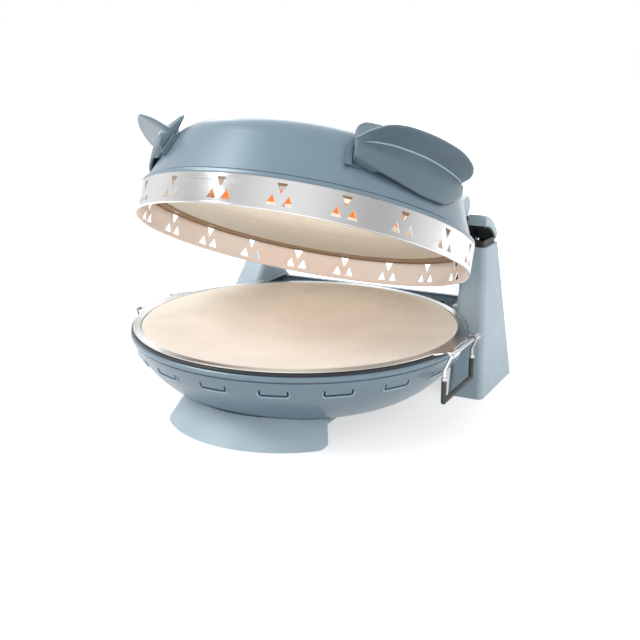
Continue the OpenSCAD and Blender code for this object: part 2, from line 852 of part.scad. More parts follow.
// Place on the bridge's back face, with +Z pointing out of it
module on_cover(x, z)
    translate([x, bridge_back_at(z), z])
        rotate([-90 - back_tilt, 0, 0])
            children();

module stand_cover() color(dark) centred()
    difference() {
        translate([-cover_x + 0.4, 0, 0])
            rotate([90, 0, 90])
                linear_extrude(height = 2 * (cover_x - 0.4))
                    polygon([
                        [bridge_back_at(cover_z0 + 0.4) - cover_t, cover_z0 + 0.4],
                        [bridge_back_at(cover_z0 + 0.4), cover_z0 + 0.4],
                        [bridge_back_at(cover_z1 - 0.4), cover_z1 - 0.4],
                        [bridge_back_at(cover_z1 - 0.4) - cover_t, cover_z1 - 0.4]
                    ]);
        for (x = [-60 : 8 : -12])
            translate([x, bridge_back - 20, cover_z0 + 12])
                cube([3, 40, 20]);
        on_cover(gland_x, gland_z) cylinder(r = gland_r - 2, h = 40, center = true, $fn = fine_fn);
        for (x = [8 - cover_x, cover_x - 8])
            on_cover(x, cover_mid_z) cylinder(r = 1.8, h = 40, center = true, $fn = small_fn);
    }

gland_x = 52;
gland_z = bridge_bottom + 24;

module cover_screws() color(steel) centred()
    for (x = [8 - cover_x, cover_x - 8])
        on_cover(x, cover_mid_z)
            translate([0, 0, seat_gap])
                mirror([0, 0, 1])
                    pan_screw(1.6, 3.2, 8);

// Flanged bush where a mains cord would enter
module cord_gland() color(dark) centred()
    on_cover(gland_x, gland_z)
        difference() {
            union() {
                translate([0, 0, seat_gap]) cylinder(r = gland_r, h = 3, $fn = fine_fn);
                translate([0, 0, -8]) cylinder(r = gland_r - 2.1, h = 9, $fn = fine_fn);
                translate([0, 0, 3])
                    cylinder(r1 = gland_r - 1, r2 = gland_r - 3.5, h = 9, $fn = fine_fn);
            }
            translate([0, 0, -9]) cylinder(r = 3.6, h = 30, $fn = fine_fn);
        }

// Four soft feet let into the columns' floors
module rear_feet() color(dark) centred()
    both_sides()
        for (y = pad_ys)
            translate([pad_x, y, 0])
                cylinder(r = pad_r, h = pad_h - seat_gap, $fn = small_fn);

module stand_straps() color(steel) centred()
    both_sides()
        difference() {
            translate([strap_x - strap_w / 2, strap_y, strap_z])
                cube([strap_w, strap_end_y - strap_y, strap_t]);
            for (y = [strap_y + strap_w / 2, strap_y + strap_w * 1.4])
                translate([strap_x, y, strap_z - 1])
                    cylinder(r = 2.2, h = strap_t + 2, $fn = small_fn);
        }

module strap_screws() color(steel) centred()
    both_sides()
        for (y = [strap_y + strap_w / 2, strap_y + strap_w * 1.4])
            translate([strap_x, y, strap_z])
                pan_screw(2, 4, strap_t);

module bush()
    difference() {
        x_bar(bush_r - 0.02, arm_outer_x + body_gap, arm_outer_x + 8);
        x_bar(pin_r + pin_gap, arm_outer_x - 1, arm_outer_x + 12);
    }

module hinge_bush_right() color([0.75, 0.7, 0.6]) centred() bush();
module hinge_bush_left() color([0.75, 0.7, 0.6]) centred() mirror([1, 0, 0]) bush();

liner_floor = hinge_z + boss_r + 4;
liner_top = column_h + 6;

// Black cup that closes a column's head under the cap
module head_liner()
    difference() {
        column_solid(stand_wall + body_gap, liner_floor, liner_top);
        column_solid(stand_wall + 2, liner_floor + 1.6, liner_top + 5);
        translate([0, column_front, hinge_z - 34])
            cube([arm_outer_x + 2, 200, 100]);
        head_trim();
        translate([0, hinge_y, hinge_z])
            rotate([0, 90, 0])
                difference() {
                    cylinder(r = 120, h = stand_x, $fn = fine_fn);
                    translate([0, 0, -1]) cylinder(r = head_r, h = stand_x + 2, $fn = fine_fn);
                }
    }

module hinge_liner_right() color(dark) centred() head_liner();
module hinge_liner_left() color(dark) centred() mirror([1, 0, 0]) head_liner();

block_y = clear_r + stand_wall + 0.7;
block_h = 16;
block_d = 7;
lead_r = 2.6;
lead_z = bowl_bottom_z + 22;
lead_y = block_y + block_d / 2;

// Terminal block in the bridge
module terminal_block() color([0.85, 0.84, 0.78]) centred()
    difference() {
        translate([-44, block_y, bridge_bottom + stand_wall + 0.1])
            cube([40, block_d, block_h]);
        for (i = [0 : 3])
            translate([-39 + i * 10, lead_y, bridge_bottom + 8])
                cylinder(r = 2, h = 20, $fn = small_fn);
    }

control_depth = 13;
module control_body() color([0.7, 0.7, 0.68]) centred()
    on_left_side(knob_z)
        difference() {
            translate([-12, -12, -stand_wall - seat_gap - control_depth])
                cube([24, 24, control_depth]);
            translate([0, 0, -stand_wall - seat_gap - control_depth + 2])
                cylinder(r = shaft_r + 0.2, h = control_depth + 5, $fn = fine_fn);
        }

// Turned knob with a grip bar and its shaft
module control_knob() color(dark) centred()
    on_left_side(knob_z)
        union() {
            translate([0, 0, body_gap])
                rotate_extrude($fn = round_fn)
                    polygon([
                        [0, 1.5],
                        [knob_r - 1, 0],
                        [knob_r, 1],
                        [knob_r - 1.6, knob_h - 3],
                        [knob_r - 3.6, knob_h - 1.6],
                        [0, knob_h - 1.6]
                    ]);
            translate([-2.2, -knob_r + 3.4, knob_h - 4])
                cube([4.4, 2 * knob_r - 6.8, 4]);
            translate([0, 0, -stand_wall - control_depth + 3])
                cylinder(r = shaft_r, h = stand_wall + control_depth + 2, $fn = fine_fn);
        }

module indicator_lens() color([0.9, 0.4, 0.1]) centred()
    on_left_side(lamp_z)
        union() {
            translate([0, 0, -8]) cylinder(r = 3.5, h = 9, $fn = fine_fn);
            translate([0, 0, 0.1]) cylinder(r1 = 4.6, r2 = 3.4, h = 1.6, $fn = fine_fn);
        }

// Mains lead from the terminal block into the bowl
module base_lead() color([0.75, 0.74, 0.7]) centred()
    union() {
        rod([0, bowl_r - 20.5, lead_z], [0, lead_y, lead_z], lead_r);
        translate([0, lead_y, lead_z]) sphere(r = lead_r + 0.04, $fn = small_fn);
        rod([0, lead_y, lead_z], [-9, lead_y, lead_z], lead_r);
        translate([-9, lead_y, lead_z]) sphere(r = lead_r + 0.04, $fn = small_fn);
        rod([-9, lead_y, lead_z], [-9, lead_y, bridge_bottom + stand_wall + block_h + 0.2], lead_r);
    }

// Dome profile: a leaning side, a round shoulder and a shallow crown, drawn in by inset
function dome_profile(inset) =
    let (
        top = dome_top - inset,
        rc = crown_r - inset,
        rs = shoulder_r - inset,
        cz = top - rc,
        foot = [dome_r - inset / cos(dome_lean), dome_z],
        dir = [-sin(dome_lean), cos(dome_lean)],
        nrm = [-cos(dome_lean), -sin(dome_lean)],
        base = foot + rs * nrm - [0, cz],
        b = base * dir,
        c = base * base - (rc - rs) * (rc - rs),
        s = -b + sqrt(b * b - c),
        centre = foot + rs * nrm + s * dir,
        join = atan2(centre[1] - cz, centre[0])
    )
    concat(
        [foot],
        arc(centre[0], centre[1], rs, dome_lean, join, 12),
        arc(0, cz, rc, join, 90, 16)
    );

module dome_solid(grow)
    rotate_extrude($fn = round_fn)
        polygon(concat([[0, dome_z - 1]], [[dome_profile(-grow)[0][0], dome_z - 1]], dome_profile(-grow)));

module lid_dome() color(paint) lid_place()
    rotate_extrude($fn = round_fn)
        polygon(concat(dome_profile(0), reversed(dome_profile(dome_t))));

module lid_ledge() color(paint) lid_place()
    rotate_extrude($fn = round_fn)
        polygon([
            [band_r - 13, ledge_z],
            [band_r - 1.2, ledge_z],
            [band_r - 0.6, ledge_z + 0.6],
            [band_r - 1, groove_z - 0.8],
            [band_r - 2.2, groove_z],
            [dome_r - 0.6, groove_z],
            [dome_r - 0.6, dome_z - seat_gap],
            [dome_r - 5, dome_z - seat_gap],
            [dome_r - 5, ledge_z + 1.4],
            [band_r - 13, ledge_z + 1.4]
        ]);

vent_z = band_z + band_h * 0.53;
vent_gap = vent_h + 1;

// Three triangles: one pointing down over two pointing up
module vent_outline() {
    translate([0, vent_gap / 2])
        polygon([[-vent_w / 2, vent_h / 2], [vent_w / 2, vent_h / 2], [0, -vent_h / 2]]);
    for (side = [-1, 1])
        translate([side * vent_w * 0.75, -vent_gap / 2])
            polygon([[-vent_w / 2, -vent_h / 2], [vent_w / 2, -vent_h / 2], [0, vent_h / 2]]);
}

module lid_band() color(steel) lid_place()
    difference() {
        rotate_extrude($fn = round_fn)
            polygon(concat(
                [[band_r - band_t - 0.6, band_top - band_t]],
                [[band_r - band_t - 0.2, band_z + 2 * band_bead]],
                arc(band_r - band_bead, band_z + band_bead, band_bead, 150, 390, 12),
                [[band_r - 0.2, band_z + 2 * band_bead + 0.4]],
                [[band_r - 0.6, band_top - 0.6], [band_r - 1.2, band_top]],
                [[band_r - 9, band_top], [band_r - 9, band_top - band_t]]
            ));
        for (i = [0 : vent_count - 1])
            rotate([0, 0, i * 360 / vent_count])
                translate([0, -band_r + 6, vent_z])
                    rotate([90, 0, 0])
                        linear_extrude(height = 12)
                            vent_outline();
    }

// Dark step that carries the reflector inside the band
module reflector_step() color([0.5, 0.38, 0.25]) lid_place()
    rotate_extrude($fn = round_fn)
        polygon([
            [band_r - 9.3, band_top - band_t - seat_gap],
            [band_r - band_t - 1.2, band_top - band_t - seat_gap],
            [band_r - band_t - 1.2, step_z],
            [band_r - band_t - 2.4, step_z],
            [band_r - band_t - 3.2, band_top - band_t - 1.6],
            [band_r - 16, band_top - band_t - 1.6],
            [band_r - 16, band_top + 1.2],
            [band_r - 14.6, band_top + 1.2],
            [band_r - 14.6, band_top - 0.2],
            [band_r - 9.3, band_top - 0.2]
        ]);

reflector_foot = band_r - 16.2;

// Shallow pressed ceiling of the lid
module upper_reflector() color([0.95, 0.92, 0.86]) lid_place()
    difference() {
        rotate_extrude($fn = round_fn)
            polygon([
                [reflector_foot, band_top - 1],
                [reflector_foot, band_top + 0.6],
                [reflector_foot - 22, band_top + reflector_h * 0.62],
                [reflector_foot - 70, band_top + reflector_h],
                [0, band_top + reflector_h],
                [0, band_top + reflector_h - liner_t],
                [reflector_foot - 70, band_top + reflector_h - liner_t],
                [reflector_foot - 21.6, band_top + reflector_h * 0.62 - liner_t],
                [reflector_foot - liner_t, band_top]
            ]);
        for (side = [-1, 1])
            rotate([0, 0, -90 + heater_end_angle])
                translate([loop_r + side * loop_half, 0, band_top])
                    cylinder(r = element_r + 1.2, h = reflector_h + 10, $fn = small_fn);
    }

top_heater_z = band_top - heater_drop;
loop_r = (top_heater_r + top_heater_inner_r) / 2;
loop_half = (top_heater_r - top_heater_inner_r) / 2;

// Hairpin of heating tube round the front of the ceiling, its ends turned up through it
module upper_heater() color([1, 0.45, 0.1]) lid_place()
    union() {
        for (r = [top_heater_inner_r, top_heater_r])
            ring_sector(-90 - heater_bend_angle, -90 + heater_end_angle)
                translate([r, top_heater_z])
                    circle(r = element_r, $fn = small_fn);
        rotate([0, 0, -90 - heater_bend_angle])
            translate([loop_r, 0, top_heater_z])
                rotate([0, 0, 180])
                    rotate_extrude(angle = 180, $fn = fine_fn)
                        translate([loop_half, 0])
                            circle(r = element_r * 0.995, $fn = small_fn);
        for (r = [top_heater_inner_r, top_heater_r])
            rotate([0, 0, -90 + heater_end_angle])
                translate([r, 0, top_heater_z]) {
                    sphere(r = element_r + 0.04, $fn = small_fn);
                    cylinder(
                        r = element_r * 0.99,
                        h = band_top + reflector_h + 5 - top_heater_z,
                        $fn = small_fn
                    );
                }
    }

// Plates that hang the hairpin from the ceiling
module upper_heater_clips() color(steel) lid_place()
    for (a = [-30, 14, 58])
        rotate([0, 0, a - 90])
            difference() {
                translate([top_heater_inner_r - element_r - 2, -1.5, top_heater_z - element_r - 2])
                    cube([2 * (loop_half + element_r + 2), 3,
                        band_top + reflector_h * 0.62 - liner_t - 0.2 - top_heater_z + element_r + 2]);
                for (r = [top_heater_inner_r, top_heater_r])
                    translate([r, 4, top_heater_z])
                        rotate([90, 0, 0])
                            cylinder(r = element_r + 0.3, h = 8, $fn = small_fn);
            }

module thermal_cutout() color([0.8, 0.8, 0.8]) lid_place()
    translate([0, 40, band_top + reflector_h + seat_gap])
        union() {
            cylinder(r = 9, h = 4, $fn = fine_fn);
            translate([0, 0, 3.9]) cylinder(r = 6, h = 5, $fn = fine_fn);
            translate([-1.5, -5, 8]) cube([3, 10, 4]);
        }

// Share of the wing, of the upright plate and of the flap along the handle, from 0 at the
// back end to 1 at the front end
wing_share = [[0, 0], [0.04, 0.3], [0.12, 0.6], [0.22, 0.84], [0.34, 0.97], [0.5, 1], [0.86, 1.02],
    [0.93, 0.62], [1, 0.18]];
wing_rise = [[0, 0], [0.22, 0.4], [0.4, 0.8], [0.6, 1], [0.75, 1], [0.86, 0.75], [0.93, 0.45],
    [1, 0.1]];
plate_share = [[0, 0.1], [0.2, 0.55], [0.45, 0.85], [0.8, 1.02], [0.94, 0.95], [0.98, 0.8], [1, 0.55]];
flap_share = [[0, 0.35], [0.16, 0.7], [0.3, 0.98], [0.5, 1], [0.66, 0.9], [0.84, 0.76], [0.94, 0.62],
    [1, 0.5]];
crease_rise = [[0, 1.5], [0.2, 3], [0.5, 6], [0.75, 6.5], [0.9, 4.5], [1, 0]];

// Share of the crease's and the flap's stand-off from the dome, which fades at the back end
stand_share = [[0, 0], [0.04, 0.3], [0.1, 0.62], [0.18, 0.85], [0.28, 0.97], [0.36, 1], [1, 1]];

// At its ends the handle is filled in down to the spacer on the dome
end_fill = [[0, 1], [0.15, 1], [0.2, 0], [0.82, 0], [0.87, 1], [1, 1]];
function dome_at(z) = dome_r - (z - dome_z) * tan(dome_lean);
function toward_dome(r, z, k) = r + (dome_at(z) + spacer_t / cos(dome_lean) - r) * k;
function skin_at(z) = dome_at(z) + 4.5;

// Closed outline of the three fins at share u of the handle's length, in radius and height
function fin_section(u) =
    let (
        out = lookup(u, stand_share),
        cz = crease_z + lookup(u, crease_rise),
        cr = skin_at(cz) + (crease_r - skin_at(cz)) * out,
        wr = cr + (wing_r - cr) * lookup(u, wing_share),
        wz = cz + (wing_z - cz) * lookup(u, wing_rise),
        pr = cr + (plate_r - cr) * lookup(u, plate_share),
        pz = cz + (plate_z - cz) * lookup(u, plate_share),
        fz = cz + (flap_z - cz) * lookup(u, flap_share),
        fr = skin_at(fz) + (flap_r - skin_at(fz)) * out,
        t = fin_t,
        k = lookup(u, end_fill),
        low = fz + 1.6 - 4.6 * k,
        mid = min((cz + fz) / 2 + 4, cz - t * 2)
    )
    [
        [cr + 0.5, cz + t],
        [max(wr - 3, cr + 2.4), wz + t * 0.42],
        [max(wr, cr + 3.6), wz],
        [max(wr - 2.4, cr + 3), wz - t * 0.5],
        [cr + 3.4, cz - t * 0.8],
        [fr + 0.6, (cz + fz) / 2 + 2],
        [fr + 1, fz + 1.6],
        [fr - t * 0.4, fz],
        [toward_dome(fr - t * 0.9, low, k), low],
        [toward_dome(fr - t - 1.4, mid, k), mid],
        [toward_dome(cr - 1, cz - t * 1.6, k), cz - t * 1.6],
        [toward_dome(cr - t * 1.3, cz - t * 0.9, k), cz - t * 0.9],
        [pr - t * 0.9, pz - 1.4],
        [pr - t * 0.4, pz],
        [pr + 0.4, pz - 1.4]
    ];

// Triangles that close an end of the fins, by the places in the section's outline
end_faces = [[0, 1, 3], [1, 2, 3], [0, 3, 4], [4, 5, 9], [5, 6, 8], [6, 7, 8], [5, 8, 9], [4, 9, 10],
    [0, 4, 10], [0, 10, 11], [0, 11, 14], [11, 12, 14], [12, 13, 14]];
fin_rings = 26;
function handle_angle(u) = handle_back + (handle_front - handle_back) * u;
function around(p, a) = [p[0] * cos(a), -p[0] * sin(a), p[1]];

module handle_fins() {
    rings = [for (i = [0 : fin_rings]) let (u = i / fin_rings)
        [for (p = fin_section(u)) around(p, handle_angle(u))]];
    n = len(rings[0]);
    points = [for (ring = rings) each ring];
    sides = [for (i = [0 : fin_rings - 1]) for (j = [0 : n - 1])
        for (f = [[i * n + j, (i + 1) * n + (j + 1) % n, i * n + (j + 1) % n],
                  [i * n + j, (i + 1) * n + j, (i + 1) * n + (j + 1) % n]]) f];
    polyhedron(
        points = points,
        faces = concat(
            sides,
            [for (f = end_faces) f],
            [for (f = end_faces) [for (j = [2, 1, 0]) fin_rings * n + f[j]]]
        ),
        convexity = 8
    );
}

end_span = (handle_front - handle_back) * 0.13;

module handle_right() color(pale) lid_place() handle_fins();
module handle_left() color(pale) lid_place() mirror([1, 0, 0]) handle_fins();

// Seat under an end block of the handle, lying on the dome
module block_spacer(angle_from, angle_to, low_z, high_z)
    difference() {
        intersection() {
            ring_sector(-angle_to - 0.6, -angle_from + 0.6)
                polygon([
                    [dome_r - (low_z - dome_z) * tan(dome_lean) - 6, low_z - 2],
                    [flap_r, low_z - 2],
                    [flap_r, high_z + 1],
                    [dome_r - (high_z - dome_z) * tan(dome_lean) - 6, high_z + 1]
                ]);
            dome_solid(spacer_t - seat_gap);
        }
        dome_solid(seat_gap);
    }

// Foot that stands out beyond the handle's front end
foot_low_z = crease_z - 6 * fin_t;
foot_high_z = crease_z - fin_t;
module front_end_foot()
    difference() {
        intersection() {
            ring_sector(-handle_front - 2.1, -handle_front - 0.3)
                polygon([
                    [dome_at(foot_low_z) - 6, foot_low_z - 2],
                    [dome_at(foot_low_z) + 6, foot_low_z - 2],
                    [dome_at(foot_high_z) + 6, foot_high_z + 1],
                    [dome_at(foot_high_z) - 6, foot_high_z + 1]
                ]);
            dome_solid(3 * spacer_t);
        }
        dome_solid(seat_gap);
    }

module handle_spacers() color(pale) lid_place()
    both_sides() {
        block_spacer(handle_front - end_span, handle_front, foot_low_z, crease_z - 4);
        block_spacer(handle_back, handle_back + end_span, crease_z - 10, crease_z - 3);
        front_end_foot();
    }

// Screws from inside the dome into the handle's end blocks
module handle_screws() color(steel) lid_place()
    both_sides()
        for (spot = [[handle_front - end_span / 2, crease_z - 10],
                     [handle_back + 4.5, crease_z - 8]])
            rotate([0, 0, -spot[0]])
                translate([dome_r - (spot[1] - dome_z) * tan(dome_lean) - dome_t / cos(dome_lean) - seat_gap,
                    0, spot[1]])
                    rotate([0, 90 - dome_lean, 0])
                        translate([0, 0, -2.4])
                            cylinder(r = 3.6, h = 2.3, $fn = small_fn);

// Side outline of a hinge arm in the closed lid, in Y and Z
module arm_outline()
    polygon(concat(
        arc(hinge_y, hinge_z, 15, -150, 20, 10),
        arc(hinge_y, hinge_z, cap_r - 2, cap_back_angle, cap_front_angle - 2, 8),
        [[hinge_y - 62, hinge_z + 42],
         [hinge_y - 92, hinge_z + 36],
         [hinge_y - 92, hinge_z + 14],
         [hinge_y - 40, hinge_z + 13]]
    ));

// Flange of the arm that the cap sits on, sector of a ring about the hinge axis
module hinge_sector(r0, r1, x_from, x_to, a0, a1)
    translate([x_from, hinge_y, hinge_z])
        rotate([90, 0, 90])
            rotate([0, 0, a0])
                rotate_extrude(angle = a1 - a0, $fn = round_fn)
                    polygon([[r0, 0], [r1, 0], [r1, x_to - x_from], [r0, x_to - x_from]]);

module hinge_arm()
    difference() {
        union() {
            translate([arm_inner_x, 0, 0])
                rotate([90, 0, 90])
                    linear_extrude(height = arm_t - body_gap)
                        arm_outline();
            hinge_sector(
                cap_inner_r - 1.4, cap_inner_r - seat_gap,
                arm_outer_x - 2, arm_outer_x + cap_w - 1.5,
                cap_back_angle, cap_front_angle - 1
            );
        }
        dome_solid(seat_gap);
        x_bar(pin_r + 0.02, arm_inner_x - 1, arm_outer_x + 2);
    }

module hinge_arm_right() color(dark) lid_place() hinge_arm();
module hinge_arm_left() color(dark) lid_place() mirror([1, 0, 0]) hinge_arm();

// Pale cover over the arm's inner side, with a rounded lug that stands over its top
module arm_cover()
    difference() {
        translate([arm_inner_x - 4.2, 0, 0])
            rotate([90, 0, 90])
                linear_extrude(height = arm_t + 4.2 - body_gap)
                    polygon(concat(
                        arc(hinge_y - lug_back, hinge_z + lug_rise, lug_r, -30, 120, 10),
                        [[hinge_y - 62, hinge_z + 54], [hinge_y - 92, hinge_z + 46],
                         [hinge_y - 92, hinge_z + 16], [hinge_y - 44, hinge_z + 17]]
                    ));
        translate([arm_inner_x - 0.2, 0, 0])
            rotate([90, 0, 90])
                linear_extrude(height = arm_t)
                    offset(delta = seat_gap)
                        arm_outline();
        dome_solid(seat_gap);
    }

module arm_cover_right() color(pale) lid_place() arm_cover();
module arm_cover_left() color(pale) lid_place() mirror([1, 0, 0]) arm_cover();

// Rounded cap that turns over the column's head with the lid
cap_edge = 5;
module hinge_cap()
    translate([arm_outer_x, hinge_y, hinge_z])
        rotate([90, 0, 90])
            rotate([0, 0, cap_back_angle])
                rotate_extrude(angle = cap_front_angle - cap_back_angle, $fn = round_fn)
                    polygon(concat(
                        [[cap_inner_r, 0], [cap_r, 0]],
                        arc(cap_r - cap_edge, cap_w - cap_edge, cap_edge, 0, 90, 8),
                        [[cap_inner_r, cap_w]]
                    ));

module hinge_cap_right() color(pale) lid_place() hinge_cap();
module hinge_cap_left() color(pale) lid_place() mirror([1, 0, 0]) hinge_cap();

module hinge_pin()
    union() {
        x_bar(pin_r, arm_inner_x - 1, pin_end_x - 0.5);
        x_bar(pin_r + 2.5, arm_inner_x - 3, arm_inner_x - seat_gap);
    }

module hinge_pin_right() color(steel) lid_place() hinge_pin();
module hinge_pin_left() color(steel) lid_place() mirror([1, 0, 0]) hinge_pin();

// Screws that hold the arms to the dome, seen on the arms' inner faces
module arm_screws() color(steel) lid_place()
    both_sides()
        for (spot = [[hinge_y - 46, hinge_z + 30], [hinge_y - lug_back, hinge_z + 50]])
            translate([arm_inner_x - 4.4, spot[0], spot[1]])
                rotate([0, -90, 0])
                    cylinder(r1 = 3.4, r2 = 2.6, h = 1.8, $fn = small_fn);

base_bowl();
rim_ring();
base_liner();
lower_reflector();
lower_heater();
lower_heater_clips();
tray_frame();
pizza_stone();
bail_left();
bail_right();
bail_grip_left();
bail_grip_right();
front_foot();
front_foot_pads();
foot_screws();
rear_stand();
stand_cover();
rear_feet();
stand_straps();
strap_screws();
hinge_bush_left();
hinge_bush_right();
hinge_liner_left();
hinge_liner_right();
terminal_block();
control_body();
control_knob();
indicator_lens();
cord_gland();
base_lead();
cover_screws();
lid_dome();
lid_ledge();
lid_band();
reflector_step();
upper_reflector();
upper_heater();
upper_heater_clips();
thermal_cutout();
handle_left();
handle_right();
handle_spacers();
handle_screws();
hinge_arm_left();
hinge_arm_right();
arm_cover_left();
arm_cover_right();
hinge_cap_left();
hinge_cap_right();
hinge_pin_left();
hinge_pin_right();
arm_screws();
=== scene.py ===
"""Looks of an electric pizza maker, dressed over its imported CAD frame."""

import json
import math

import bmesh
import bpy
from bpy.props import FloatProperty, FloatVectorProperty, IntProperty, PointerProperty
from bpy.types import Operator, Panel, PropertyGroup
from mathutils import Matrix, Vector


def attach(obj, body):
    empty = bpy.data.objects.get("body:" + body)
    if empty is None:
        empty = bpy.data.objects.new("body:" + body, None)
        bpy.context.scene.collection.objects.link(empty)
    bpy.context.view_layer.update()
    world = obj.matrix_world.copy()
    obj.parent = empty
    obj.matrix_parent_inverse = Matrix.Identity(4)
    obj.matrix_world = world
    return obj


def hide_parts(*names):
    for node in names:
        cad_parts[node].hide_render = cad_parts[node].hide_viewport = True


bl_info = {
    "name": "Pizza maker looks",
    "version": (1, 0, 0),
    "blender": (4, 5, 0),
    "location": "View3D > Sidebar > Pizza maker",
    "description": "Finishes, fine pieces and studio of a countertop pizza maker",
    "category": "Object",
}

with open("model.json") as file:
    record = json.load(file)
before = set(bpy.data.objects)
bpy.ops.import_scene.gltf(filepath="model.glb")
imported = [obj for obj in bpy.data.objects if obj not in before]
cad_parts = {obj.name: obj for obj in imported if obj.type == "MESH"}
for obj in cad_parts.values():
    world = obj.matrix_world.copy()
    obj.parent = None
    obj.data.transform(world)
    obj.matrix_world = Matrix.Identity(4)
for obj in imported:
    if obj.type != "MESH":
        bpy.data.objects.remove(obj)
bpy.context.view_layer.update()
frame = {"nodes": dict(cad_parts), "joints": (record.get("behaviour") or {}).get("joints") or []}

NODES = frame["nodes"]
JOINTS = {joint["name"]: joint for joint in frame["joints"]}
HINGE = Vector(JOINTS["lid_hinge"]["pos_m"])
LID_OPEN = math.radians(-JOINTS["lid_hinge"]["range_deg"][0])
BAIL_RIGHT = Vector(JOINTS["bail_right_swing"]["pos_m"])
BOWL_Y = BAIL_RIGHT.y
MM = 0.001

# From the closed lid, measured from the bowl's axis in millimetres, to the pictured opening
LID_FRAME = (
    Matrix.Translation(HINGE)
    @ Matrix.Rotation(-LID_OPEN, 4, "X")
    @ Matrix.Translation(-HINGE)
    @ Matrix.Translation((0, BOWL_Y, 0))
    @ Matrix.Scale(MM, 4)
)
BASE_FRAME = Matrix.Translation((0, BOWL_Y, 0)) @ Matrix.Scale(MM, 4)

# Sizes of the part in millimetres, measured from the bowl's axis and the floor
HINGE_Y = (HINGE.y - BOWL_Y) / MM
HINGE_Z = HINGE.z / MM
BOWL_BOTTOM_R, BOWL_BOTTOM_Z = 112.0, 20.0
BOWL_SHOULDER_R, BOWL_SHOULDER_Z = 164.1, 71.0
BOWL_FULLNESS = 1.4
SLOT_COUNT, SLOT_Z, SLOT_HALF, SLOT_H, SLOT_RISE = 18, 59.0, 13.0, 1.5, 4.5
TRAY_TOP = 82.0
BAIL_REACH, BAIL_Z = BAIL_RIGHT.x / MM, BAIL_RIGHT.z / MM
BAIL_LEG_Y, BAIL_SET, SLEEVE_TOP_Z = 38.0, 6.0, BAIL_Z - 22.5
BAND_R, BAND_Z, BAND_TOP = 166.0, 85.0, 113.0
# Depth below the band's outer face where its warm inner face begins, and the blend on either side
WARM_DEPTH, WARM_BLEND = 0.85, 0.1
DOME_R, DOME_Z, DOME_LEAN = 161.0, 118.3, math.radians(21)
# Screws of the hinge arms: their heads' faces, and each one's place before and above the hinge axis
ARM_SCREW_X, ARM_SCREWS = 101.8, ((46, 30), (31, 50))
BRIDGE_LOW, BRIDGE_HIGH = (182.0, 13.0), (191.58, 75.0)
COVER_MID_Z, COVER_SCREW_X, COVER_T = 44.5, 76.0, 2.5
GLAND_X, GLAND_Z = 52.0, 37.0

# Painted reflections, soft light and dark tones round the rolled steel: how many, and the turn of the first
# in radians
PAINTED_REFLECTION_WAVES, PAINTED_REFLECTION_PHASE = 7.0, -0.45

# Painted light on the lid's ceiling, a glow standing for the tube's light: its colour, and its strength
# from a middle radius to an outer one in metres
CEILING_LIGHT = (1.0, 0.92, 0.80)
CEILING_MIDDLE_R, CEILING_OUTER_R = 0.05, 0.14
CEILING_BRIGHT, CEILING_DIM = 0.46, 0.06

# Studio floor in metres: half its width, and the radii between which its shade brightens to white
FLOOR_HALF = 6.0
FLOOR_SHADE_R, FLOOR_WHITE_R, FLOOR_SHADE = 0.16, 0.45, 0.58

# Each lamp's name, place, target, width and height in metres, power in watts, and if it is mirrored
LAMPS = (
    ("key_lamp", (-1.1, -0.9, 1.6), (0, 0, 0.15), (0.9, 0.9), 24, True),
    ("fill_lamp", (1.7, -0.1, 0.8), (0, 0, 0.12), (2.0, 2.0), 11, False),
    ("back_lamp", (-0.7, 1.4, 1.2), (0, 0, 0.18), (1.4, 0.7), 12, True),
)

# Shift of the picture against the camera's axis, as shares of its width
PICTURE_SHIFT = (0.0319, -0.0441)

# A lid handle: its two ends round the bowl's axis, then the edges of its crease and its three fins
HANDLE_BACK, HANDLE_FRONT = math.radians(1), math.radians(52)
CREASE_R, CREASE_Z = 154.0, 160.0
WING_R, WING_Z = 181.5, 175.5
PLATE_R, PLATE_Z = 143.0, 183.0
FLAP_R, FLAP_Z = 160.5, 128.0
# Thickness of its fins and of the spacers under its feet, and the gap between its flap and the dome
FIN_T, SPACER_T, SKIN_GAP = 3.4, 1.6, 4.5
# How far each fin reaches or rises, at shares of the handle's length from its back end
WING_SHARE = (
    (0, 0), (0.04, 0.3), (0.12, 0.6), (0.22, 0.84), (0.34, 0.97),
    (0.5, 1), (0.86, 1.02), (0.93, 0.62), (1, 0.18),
)
WING_RISE = ((0, 0), (0.22, 0.4), (0.4, 0.8), (0.6, 1), (0.75, 1), (0.86, 0.75), (0.93, 0.45), (1, 0.1))
PLATE_SHARE = ((0, 0.1), (0.2, 0.55), (0.45, 0.85), (0.8, 1.02), (0.94, 0.95), (0.98, 0.8), (1, 0.55))
FLAP_SHARE = (
    (0, 0.35), (0.16, 0.7), (0.3, 0.98), (0.5, 1),
    (0.66, 0.9), (0.84, 0.76), (0.94, 0.62), (1, 0.5),
)
# Rise of the crease in millimetres, how far the handle stands off the dome, and where its feet fill the gap
CREASE_RISE = ((0, 1.5), (0.2, 3), (0.5, 6), (0.75, 6.5), (0.9, 4.5), (1, 0))
STAND_SHARE = ((0, 0), (0.04, 0.3), (0.1, 0.62), (0.18, 0.85), (0.28, 0.97), (0.36, 1), (1, 1))
END_FILL = ((0, 1), (0.15, 1), (0.2, 0), (0.82, 0), (0.87, 1), (1, 1))
# The outline's point in the crease, and the bead along it: steps, bare share at each end, and lift
CREASE_POINT = 4
BEAD_STEPS, BEAD_MARGIN, BEAD_LIFT = 60, 0.03, 0.25


def colour_property(name, description, default):
    """A colour that the user can change, with values from 0 to 1."""
    return FloatVectorProperty(
        name=name, description=description, subtype="COLOR", size=3, min=0.0, max=1.0, default=default
    )


